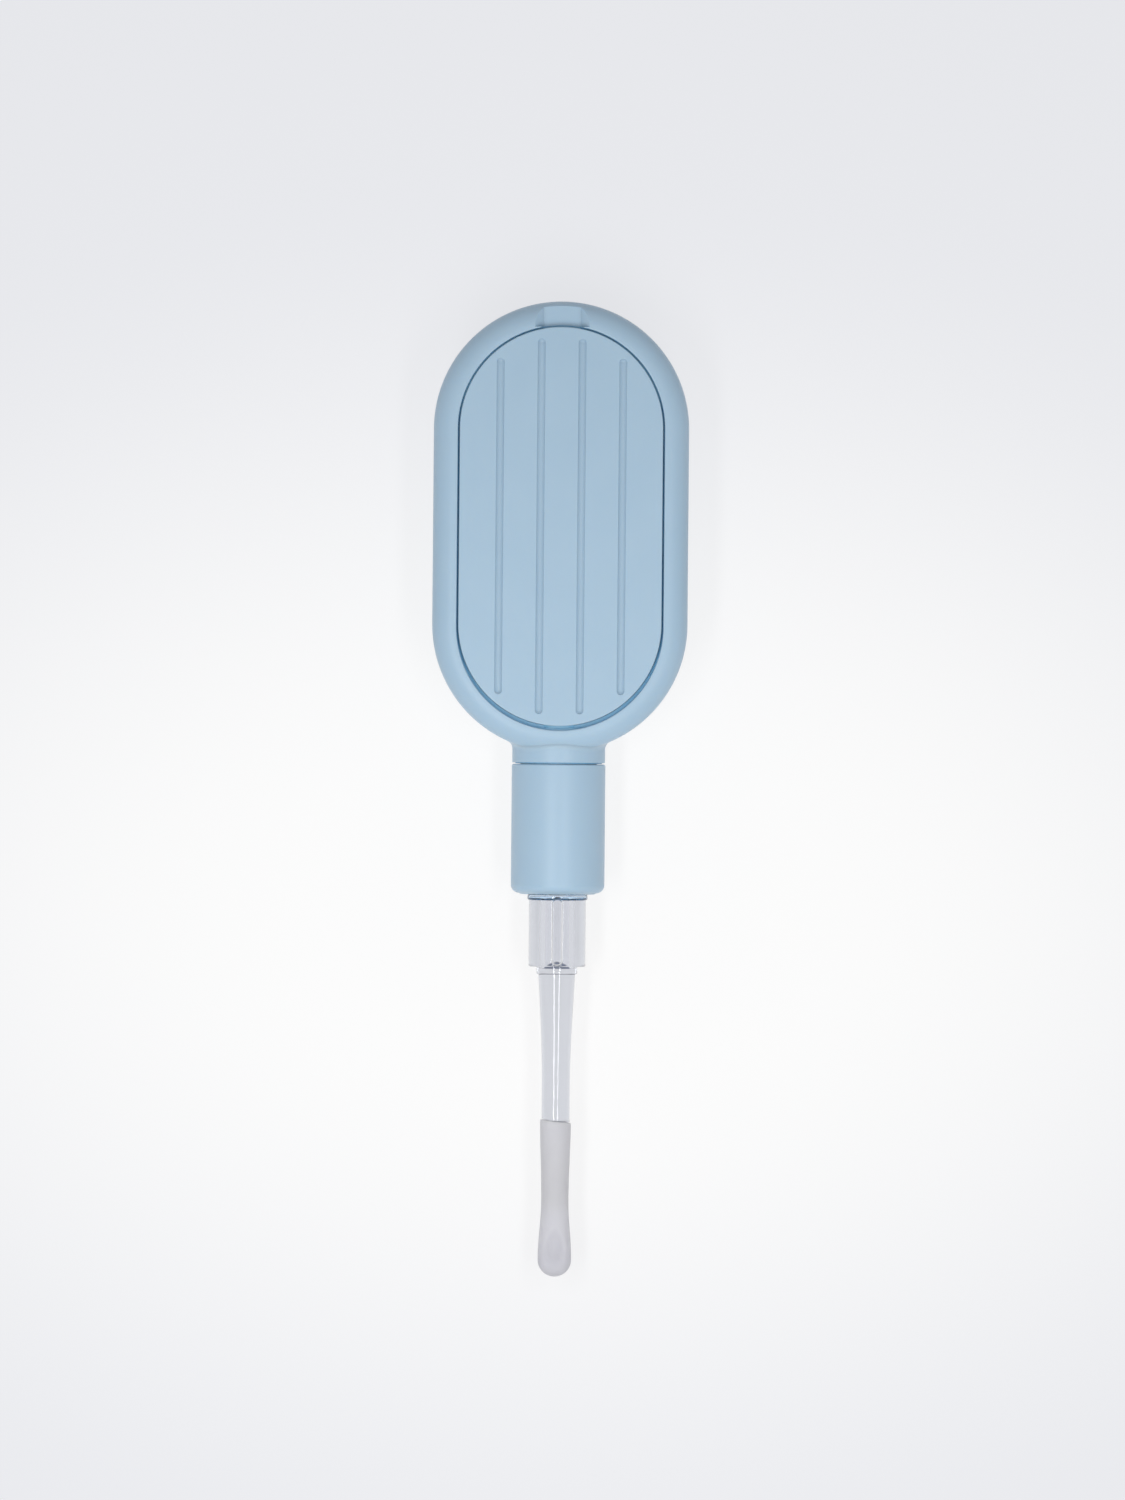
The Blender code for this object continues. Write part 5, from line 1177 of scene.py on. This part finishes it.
def battery_holder(material):
    """Cradle for the cells: open on one side to load them, slotted on the other for the strip."""
    rear, front = HOLDER_HIGH.y, HOLDER_LOW.y
    end_wall = rear - HOLDER_END_WALL
    reach = 2 * HOLDER_RADIUS
    edge = SEAM_EDGE
    holder = turned("battery_holder_moulding", [
        (0.0, end_wall), (HOLDER_BORE_RADIUS, end_wall), (HOLDER_BORE_RADIUS, front + edge),
        (HOLDER_BORE_RADIUS + edge, front), (HOLDER_RADIUS - edge / 2, front),
        (HOLDER_RADIUS, front + edge / 2), (HOLDER_RADIUS, rear - edge),
        (HOLDER_RADIUS - edge, rear), (0.0, rear)])
    window = block("cell_window", (HOLDER_LIP, front + HOLDER_FRONT_RING, AXIS_Z - reach),
                   (reach, end_wall - HOLDER_FRONT_RING, AXIS_Z + reach))
    strip_half = STRIP_WIDTH / 2 + SEAT_CLEARANCE
    strip_slot = block("strip_slot", (-reach, front - HOLDER_WALL, AXIS_Z - strip_half),
                       (-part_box("cell_1")[1].x, end_wall, AXIS_Z + strip_half))
    rib_half = KEY_RIB_WIDTH / 2 + FIT_CLEARANCE
    rib_slot = block("rib_slot", (HOLDER_BORE_RADIUS - HOLDER_WALL, end_wall - 2 * FIT_CLEARANCE,
                                  AXIS_Z - rib_half), (reach, FLANGE_Y, AXIS_Z + rib_half))
    shape_with(holder, "DIFFERENCE", window, strip_slot, rib_slot)
    return dress(holder, material, "cartridge", ["battery_holder"])


def button_cell(number, steel, gasket_material):
    """Button cell: rolled steel can facing the lamp, sealing ring and smaller raised cap."""
    name = f"cell_{number}"
    low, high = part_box(name)
    edge = high.x - CELL_CRIMP
    step = high.y - CELL_CAP_HEIGHT
    lift = CELL_CAP_HEIGHT / 3
    ring = CELL_CAP_RADIUS + GASKET_WALL
    foot = step - CELL_CRIMP
    can = [(0.0, low.y)] + arc(edge, low.y + CELL_CRIMP, CELL_CRIMP, -90, 0, EDGE_STEPS)
    can += arc(edge, foot, CELL_CRIMP, 0, 90, EDGE_STEPS)
    can += [(ring, step), (ring, foot), (0.0, foot)]
    dress(turned(f"{name}_can", can), steel, "cartridge", [name])
    gasket = [(ring, foot), (ring, step), (CELL_CAP_RADIUS + GASKET_WALL / 2, step + lift),
              (CELL_CAP_RADIUS, step + lift), (CELL_CAP_RADIUS, foot)]
    dress(turned(f"{name}_gasket", gasket, looped=True), gasket_material, "cartridge")
    cap = [(0.0, foot), (CELL_CAP_RADIUS, foot)]
    cap += arc(CELL_CAP_RADIUS - lift, high.y - lift, lift, 0, 90, EDGE_STEPS) + [(0.0, high.y)]
    dress(turned(f"{name}_cap", cap), steel, "cartridge")


def contact_disc(name, node, material):
    """Sheet metal contact across the cells, with softened edges."""
    low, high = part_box(node)
    radius = high.x
    edge = (high.y - low.y) / 4
    profile = [(0.0, high.y), (radius - edge, high.y), (radius, high.y - edge),
               (radius, low.y + edge), (radius - edge, low.y), (0.0, low.y)]
    return dress(turned(name, profile), material, "cartridge", [node])


def contact_spring(material):
    """Conical spring between its seat and the first cell."""
    low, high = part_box("contact_spring")
    rise = high.y - low.y - SPRING_WIRE
    place = Vector((0.0, high.y - SPRING_WIRE / 2, AXIS_Z))
    spring = grow(empty_piece("contact_spring_coil"), coil_tree(),
                  **{"Turns": SPRING_TURNS, "Base radius": high.x - SPRING_WIRE / 2,
                     "Top radius": SPRING_TOP_RADIUS, "Rise": rise, "Wire": SPRING_WIRE,
                     "Place": place, "Finish": material})
    outward(spring)
    return dress(spring, material, "cartridge", ["contact_spring"],
                 sharp=SOFT_ANGLE)


def led_carrier(material):
    """Front disc of the cartridge with the lead holes and the nose that holds the lamp."""
    rear, front, nose_end = CARRIER_HIGH.y, CARRIER_FRONT_Y, CARRIER_LOW.y
    groove = NOSE_RING_HIGH.x - NOSE_RING_WIRE - RING_SLACK
    groove_low = NOSE_RING_LOW.y - SEAT_CLEARANCE / 2
    groove_high = NOSE_RING_HIGH.y + SEAT_CLEARANCE / 2
    edge = SEAM_EDGE
    carrier = turned("led_carrier_moulding", [
        (0.0, rear), (HOLDER_RADIUS - edge, rear), (HOLDER_RADIUS, rear - edge),
        (HOLDER_RADIUS, front + edge), (HOLDER_RADIUS - edge, front), (NOSE_RADIUS, front),
        (NOSE_RADIUS, groove_high), (groove, groove_high), (groove, groove_low),
        (NOSE_RADIUS, groove_low), (NOSE_RADIUS, nose_end + edge / 2),
        (NOSE_RADIUS - edge / 2, nose_end), (NOSE_BORE_RADIUS, nose_end),
        (NOSE_BORE_RADIUS, front), (0.0, front)])
    lead_low, lead_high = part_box("led_lead_positive")
    hole = (lead_high.x - lead_low.x) / 2 + FIT_CLEARANCE
    stud_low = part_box("led_contact_stud")[0]
    strip_low, strip_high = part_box("contact_strip")
    reach = 2 * HOLDER_RADIUS
    spaces = [loft(f"lead_hole_{side}", [[(side * LEAD_SPACING / 2 + x, y, z)
                                          for x, _, z in oval(hole, hole, y, HOLE_STEPS)]
                                         for y in (rear + edge, front - edge)])
              for side in (-1, 1)]
    for name, low, high in (
            ("lead_channel", (LEAD_SPACING / 2, stud_low.y - SEAT_CLEARANCE, AXIS_Z - hole),
             (reach, rear + edge, AXIS_Z + hole)),
            ("strip_notch", (-reach, front - edge, strip_low.z - SEAT_CLEARANCE),
             (strip_high.x + SEAT_CLEARANCE, rear + edge, strip_high.z + SEAT_CLEARANCE))):
        spaces.append(block(name, low, high))
    shape_with(carrier, "DIFFERENCE", *spaces)
    return dress(carrier, material, "cartridge", ["led_carrier"])


def led(epoxy, steel, phosphor):
    """Lamp: domed epoxy body with a flange, and in it the cup with its phosphor and the post."""
    rear, tip = LED_HIGH.y, LED_LOW.y
    flange_front = rear - LED_FLANGE_HEIGHT
    lens = [(0.0, rear), (LED_FLANGE_RADIUS, rear), (LED_FLANGE_RADIUS, flange_front),
            (LED_RADIUS, flange_front)]
    lens += arc(0.0, tip + LED_RADIUS, LED_RADIUS, 0, -90, DOME_STEPS)[:-1] + [(0.0, tip)]
    dress(turned("led_lens", lens), epoxy, "cartridge", ["led"])
    inner_rear = rear - LED_FLANGE_LIP
    cup_y = rear - LED_CUP_PLACE * (rear - tip)
    anvil = LED_RADIUS * LED_ANVIL_SHARE
    cup = LED_RADIUS * LED_CUP_SHARE
    # The anvil narrows to the rear and is hollowed in front; its shape goes by shares of its size
    post_and_cup = [(0.0, inner_rear), (anvil * 0.6, inner_rear), (anvil * 0.7, cup_y + anvil),
                    (anvil, cup_y + anvil * 0.4), (anvil, cup_y), (cup, cup_y),
                    (cup * 0.5, cup_y + cup * 0.6), (0.0, cup_y + cup * 0.6)]
    dress(turned("led_cup", post_and_cup, LAMP_STEPS), steel, "cartridge")
    gel = [(cup * across, cup_y + cup * along)
           for across, along in ((0.0, 0.55), (0.5, 0.55), (0.95, 0.05), (0.6, -0.15), (0.0, -0.2))]
    dress(turned("led_phosphor", gel, LAMP_STEPS), phosphor, "cartridge",
          sharp=SOFT_ANGLE)
    post_place = LED_POST_SHARE * LED_RADIUS
    post = loft("led_post", [[(post_place + x, y, z) for x, _, z in oval(size, size, y, POST_STEPS)]
                             for size, y in ((LED_POST_RADIUS, inner_rear),
                                             (LED_POST_RADIUS, cup_y + LED_POST_TAPER_END),
                                             (LED_POST_HEAD_RADIUS, cup_y + LED_POST_HEAD_LENGTH),
                                             (LED_POST_HEAD_RADIUS, cup_y))])
    dress(post, steel, "cartridge")


def led_leads(material):
    """The lamp's two leads: one straight, one bent out to the edge contact."""
    low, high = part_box("led_lead_negative")
    straight_low, straight_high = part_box("led_lead_positive")
    radius = (straight_high.x - straight_low.x) / 2
    place = LEAD_SPACING / 2
    straight = [(-place, y, AXIS_Z) for y in (straight_high.y, straight_low.y)]
    bend = 2 * radius
    channel_y = high.y - radius
    bent = [(x, y, AXIS_Z) for x, y in arc(place + bend, channel_y - bend, bend, 180, 90)]
    bent = [(place, low.y, AXIS_Z), *bent, (high.x, channel_y, AXIS_Z)]
    for name, node, points in (("led_lead_straight", "led_lead_positive", straight),
                               ("led_lead_bent", "led_lead_negative", bent)):
        guide = path(name + "_path", points, "3D")
        guide.data.bevel_depth = radius
        guide.data.bevel_resolution = 5
        guide.data.use_fill_caps = True
        wire = empty_piece(name)
        wire.data = evaluated_mesh(guide)
        bpy.data.objects.remove(guide)
        dress(outward(wire), material, "cartridge", [node], sharp=SOFT_ANGLE)


def slant(x):
    """Drop of the soft tip's open end, and of the step it meets, at a place across it."""
    return SLANT_DROP * (x + SLEEVE_TOP_RADIUS) / (2 * SLEEVE_TOP_RADIUS)


def keyway_space():
    """Room for the key groove in the socket: round lower end, rounded floor and softened brim."""
    half = KEYWAY_WIDTH / 2
    soft = KEYWAY_SOFTENING
    floor = SOCKET_RADIUS - KEYWAY_DEPTH
    brim = math.sqrt(SOCKET_RADIUS ** 2 - (half + soft) ** 2)
    steps = arc(half - soft, floor + soft, soft, 270, 360, LIP_STEPS)
    steps += arc(half + soft, brim - soft, soft, 180, 90, LIP_STEPS)
    steps += [(half + 2 * soft, brim + soft), (half + 2 * soft, 2 * SOCKET_RADIUS)]
    return loft("keyway_space", [capsule(0.0, KEYWAY_LOW_Y, MOUTH_Y - CONE_LENGTH, size,
                                         AXIS_Z + rise) for size, rise in steps])


def pick_stem(material):
    """Clear pick: hollow plug, beaded mouth, keyed socket, step ring, tapering stem, thin core."""
    plug_end = PICK_HIGH.y
    bore_end = SOCKET_END_Y - BORE_OVERRUN
    pocket_foot = CARRIER_LOW.y - NOSE_SEAT_GAP
    edge = MOUTH_CHAMFER
    quarter = [math.pi / 2 * index / MOUTH_STEPS for index in range(1, MOUTH_STEPS + 1)]
    profile = [(0.0, bore_end + BORE_DOME)]
    profile += [(LAMP_BORE_RADIUS * math.sin(turn), bore_end + BORE_DOME * math.cos(turn))
                for turn in quarter]
    profile += [(LAMP_BORE_RADIUS, pocket_foot - edge), (LAMP_BORE_RADIUS + edge, pocket_foot),
                (POCKET_RADIUS, pocket_foot), (POCKET_RADIUS, plug_end),
                (PLUG_RADIUS - edge, plug_end)]
    profile += arc(PLUG_RADIUS - edge, plug_end - edge, edge, 90, 0, EDGE_STEPS)[1:]
    profile += [(PLUG_RADIUS, MOUTH_Y + MOUTH_CHAMFER), (SOCKET_RADIUS + BEAD_RISE, MOUTH_Y)]
    profile += [(SOCKET_RADIUS + BEAD_RISE * math.sin(2 * turn),
                 MOUTH_Y - BEAD_LENGTH * (1 - math.cos(2 * turn)) / 2) for turn in quarter[2:]]
    profile += arc(SOCKET_RADIUS - SHOULDER_RADIUS, SOCKET_END_Y + SHOULDER_RADIUS, SHOULDER_RADIUS,
                   0, -90, ROUND_STEPS)
    step = STEM_TOP_RADIUS + STEP_RING_LIP
    soft = STEP_RING_LIP / 2
    profile.append((step, SOCKET_END_Y))
    profile += arc(step - soft, STEP_RING_END_Y + soft, soft, 0, -90, LIP_STEPS)
    profile.append((STEM_TOP_RADIUS, STEP_RING_END_Y))
    for index in range(1, STEM_STEPS + 1):
        share = index / STEM_STEPS
        bow = math.sin(share * math.pi / 2)
        profile.append((STEM_TOP_RADIUS + (STEM_END_RADIUS - STEM_TOP_RADIUS) * bow,
                        STEP_RING_END_Y - STEM_TAPER_LENGTH * share))
    profile += [(STEM_END_RADIUS, STEM_END_Y), (CORE_RADIUS, STEM_END_Y)]
    profile += arc(0.0, PICK_LOW.y + CORE_RADIUS, CORE_RADIUS, 0, -90, ROUND_STEPS)[:-1]
    profile.append((0.0, PICK_LOW.y))
    stem = turned("pick_stem_moulding", profile)
    for vertex in stem.data.vertices:
        if abs(vertex.co.y - STEM_END_Y) < MERGE_DISTANCE:
            vertex.co.y -= slant(vertex.co.x)
    shape_with(stem, "DIFFERENCE", keyway_space())
    return dress(stem, material, "pick", ["pick_stem"])


def eased(start, end, share):
    """Value between two others, level at both ends."""
    return start + (end - start) * (1 - math.cos(math.pi * share)) / 2


def sleeve_width(distance):
    """Half width of the soft tip at a distance below its open end."""
    if distance < SLEEVE_WAIST_PLACE:
        return eased(SLEEVE_TOP_RADIUS, SLEEVE_WAIST_RADIUS, distance / SLEEVE_WAIST_PLACE)
    share = (distance - SLEEVE_WAIST_PLACE) / (SLEEVE_BULGE_PLACE - SLEEVE_WAIST_PLACE)
    return eased(SLEEVE_WAIST_RADIUS, SLEEVE_BULGE_RADIUS, share)


def scooped(point):
    """Point of the tip's front face, drawn in where the scoop is."""
    x, y, z = point
    across = x / (SCOOP_WIDTH / 2)
    along = (y - (TIP_Y + SCOOP_SETBACK + SCOOP_LENGTH / 2)) / (SCOOP_LENGTH / 2)
    reach = across ** 2 + along ** 2
    if z < AXIS_Z or reach >= SCOOP_REACH:
        return point
    fall = (1 - reach / SCOOP_REACH) ** 2
    return (x, y, z - SCOOP_DEPTH * fall * (3 - 2 * fall))


def slanted(point):
    """Point of the soft tip, drawn down towards one side near the slightly slanting open end."""
    x, y, z = point
    near = max(0.0, 1 - (SLEEVE_TOP_Y - y) / SLANT_REACH)
    return (x, y - slant(x) * near, z)


def tip_sleeve(material):
    """Soft tip: waisted sleeve over the core, flattening into a rounded spoon with a scoop."""
    bore = CORE_RADIUS + SLEEVE_BORE_CLEARANCE
    bore_end = PICK_LOW.y - SLEEVE_BORE_CLEARANCE
    flattening = SLEEVE_BULGE_HALF_THICKNESS / SLEEVE_BULGE_RADIUS
    lip_y = SLEEVE_TOP_Y - SLEEVE_LIP
    inside = [(0.0, bore_end)] + arc(0.0, bore_end + bore, bore, -90, 0, ROUND_STEPS)[1:]
    inside += arc(bore + SLEEVE_LIP, lip_y, SLEEVE_LIP, 180, 90, LIP_STEPS)
    inside += arc(SLEEVE_TOP_RADIUS - SLEEVE_LIP, lip_y, SLEEVE_LIP, 90, 0, LIP_STEPS)
    sections = [(radius, radius, y) for radius, y in inside]
    for index in range(1, SLEEVE_STEPS + 1):
        distance = SLEEVE_LIP + (SLEEVE_BULGE_PLACE - SLEEVE_LIP) * index / SLEEVE_STEPS
        width = sleeve_width(distance)
        below = max(0.0, distance - SLEEVE_WAIST_PLACE)
        share = below / (SLEEVE_BULGE_PLACE - SLEEVE_WAIST_PLACE)
        sections.append((width, width * eased(1.0, flattening, share), SLEEVE_TOP_Y - distance))
    spoon = arc(0.0, TIP_Y + SLEEVE_BULGE_RADIUS, SLEEVE_BULGE_RADIUS, 0, -90, DOME_STEPS)
    sections += [(width, width * flattening, y) for width, y in spoon[1:-1]]
    sections.append((0.0, 0.0, TIP_Y))
    rings = [[slanted(point) for point in oval(width, height, y)] for width, height, y in sections]
    outside = len(rings) - SLEEVE_STEPS
    rings = rings[:outside] + [[scooped(point) for point in ring] for ring in rings[outside:]]
    sleeve = loft("tip_sleeve_moulding", rings)
    return dress(sleeve, material, "tip", ["tip_sleeve"], sharp=SOFT_ANGLE)


def floor_board():
    """Pale board with a painted pool of light: white round the object and pale grey further out.
    The eye sees most of its tone straight, so that the object's shadow on it stays light."""
    made = bpy.data.materials.new("floor_pale_board")
    tree = blank(made)
    place = add(tree, "ShaderNodeTexCoord").outputs["Object"]
    # Painted pool of light: the tone goes from white near the object to grey further out
    squeeze = add(tree, "ShaderNodeMapping", {"Vector": place, "Location": PAINTED_POOL_MIDDLE,
                                              "Scale": (PAINTED_POOL_SQUEEZE, 1.0, 1.0)})
    away = add(tree, "ShaderNodeVectorMath", {0: squeeze}, operation="LENGTH")
    fade = add(tree, "ShaderNodeMapRange", {"Value": away, "From Min": PAINTED_POOL_WHITE_REACH,
                                            "From Max": PAINTED_POOL_GREY_REACH},
               interpolation_type="SMOOTHSTEP")
    tone = add(tree, "ShaderNodeMix", {"Factor": fade, 6: PAINTED_POOL_WHITE, 7: PAINTED_POOL_GREY},
               data_type="RGBA")
    share = add(tree, "ShaderNodeMath", {0: seen_directly(tree), 1: FLOOR_GLOW},
                operation="MULTIPLY")
    board = add(tree, "ShaderNodeBsdfDiffuse", {"Color": tone})
    glow = add(tree, "ShaderNodeEmission", {"Color": tone})
    both = add(tree, "ShaderNodeMixShader", {0: share, 1: board, 2: glow})
    add(tree, "ShaderNodeOutputMaterial", {"Surface": both})
    return made


def seen_directly(tree):
    """One where the eye sees something straight, mirrored or through a clear piece, else zero."""
    ray = add(tree, "ShaderNodeLightPath").outputs
    seen = ray["Is Camera Ray"]
    for other in ("Is Glossy Ray", "Is Transmission Ray"):
        seen = add(tree, "ShaderNodeMath", {0: seen, 1: ray[other]}, operation="MAXIMUM")
    return seen


def floor_and_light():
    """Pale floor, two long strip lamps overhead at the pick's end and an even sky."""
    mesh = bmesh.new()
    bmesh.ops.create_circle(mesh, cap_ends=True, radius=FLOOR_RADIUS, segments=96)
    ground = solid("floor", mesh)
    ground.location.z = -FLOOR_GAP
    ground.data.materials.append(floor_board())
    for name, across, power in LAMPS:
        data = bpy.data.lights.new(name, "AREA")
        data.shape = "RECTANGLE"
        data.size, data.size_y = LAMP_SIZE
        data.energy = power
        lamp = bpy.data.objects.new(name, data)
        lamp.location = (across, LAMP_Y, LAMP_Z)
        lamp.visible_transmission = False
        way = (Vector(LAMP_AIM) - Vector((across, LAMP_Y, LAMP_Z))).normalized()
        lamp.rotation_euler = (math.asin(way.y), math.atan2(-way.x, -way.z), 0.0)
        bpy.context.scene.collection.objects.link(lamp)
    world = bpy.data.worlds.new("even_sky")
    tree = blank(world)
    strength = add(tree, "ShaderNodeMapRange", {"Value": seen_directly(tree), "To Min": SKY_LIGHT,
                                                "To Max": 1.0})
    sky = add(tree, "ShaderNodeBackground", {"Color": SKY_WHITE, "Strength": strength})
    add(tree, "ShaderNodeOutputWorld", {"Surface": sky})
    bpy.context.scene.world = world


def camera():
    """Camera straight above the object at the photograph's distance, turned by its slight lean."""
    data = bpy.data.cameras.new("camera")
    data.sensor_width = SENSOR_SIZE
    data.lens = SENSOR_SIZE * CAMERA_RISE / VIEW_LENGTH
    eye = bpy.data.objects.new("camera", data)
    eye.location = (CAMERA_X, CAMERA_Y, AXIS_Z + CAMERA_RISE)
    eye.rotation_euler = (0.0, 0.0, math.radians(CAMERA_ROLL))
    bpy.context.scene.collection.objects.link(eye)
    bpy.context.scene.camera = eye


def keep_node(node, material):
    """Leave a CAD node showing, with a finer material."""
    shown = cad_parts[node]
    shown.data.materials.clear()
    shown.data.materials.append(material)


def main():
    blue = moulded_polypropylene()
    clear = polished_acrylic()
    white = white_abs()
    steel = nickel_plate()
    bronze = phosphor_bronze()
    rubber = nitrile_rubber()
    sweep = outline_sweep_tree()
    rear_shell(sweep, blue)
    front_shell(sweep, blue)
    lid(sweep, blue)
    hinge_strap(blue)
    collar(blue)
    battery_barrel(white)
    seal_ring("collar_ring", "collar_o_ring", rubber, "handle")
    battery_holder(white)
    for number in (1, 2, 3):
        button_cell(number, steel, white)
    contact_disc("spring_seat_disc", "spring_seat", steel)
    contact_disc("positive_contact_disc", "positive_contact", steel)
    contact_spring(steel)
    led_carrier(white)
    led(cast_epoxy(), steel, lamp_phosphor())
    led_leads(steel)
    seal_ring("nose_ring", "nose_o_ring", rubber, "cartridge")
    pick_stem(clear)
    tip_sleeve(matt_silicone())
    for node in ("contact_strip", "led_contact_stud", "switch_ring"):
        keep_node(node, bronze)
    floor_and_light()
    camera()
    bpy.context.scene.view_settings.view_transform = "Standard"


main()
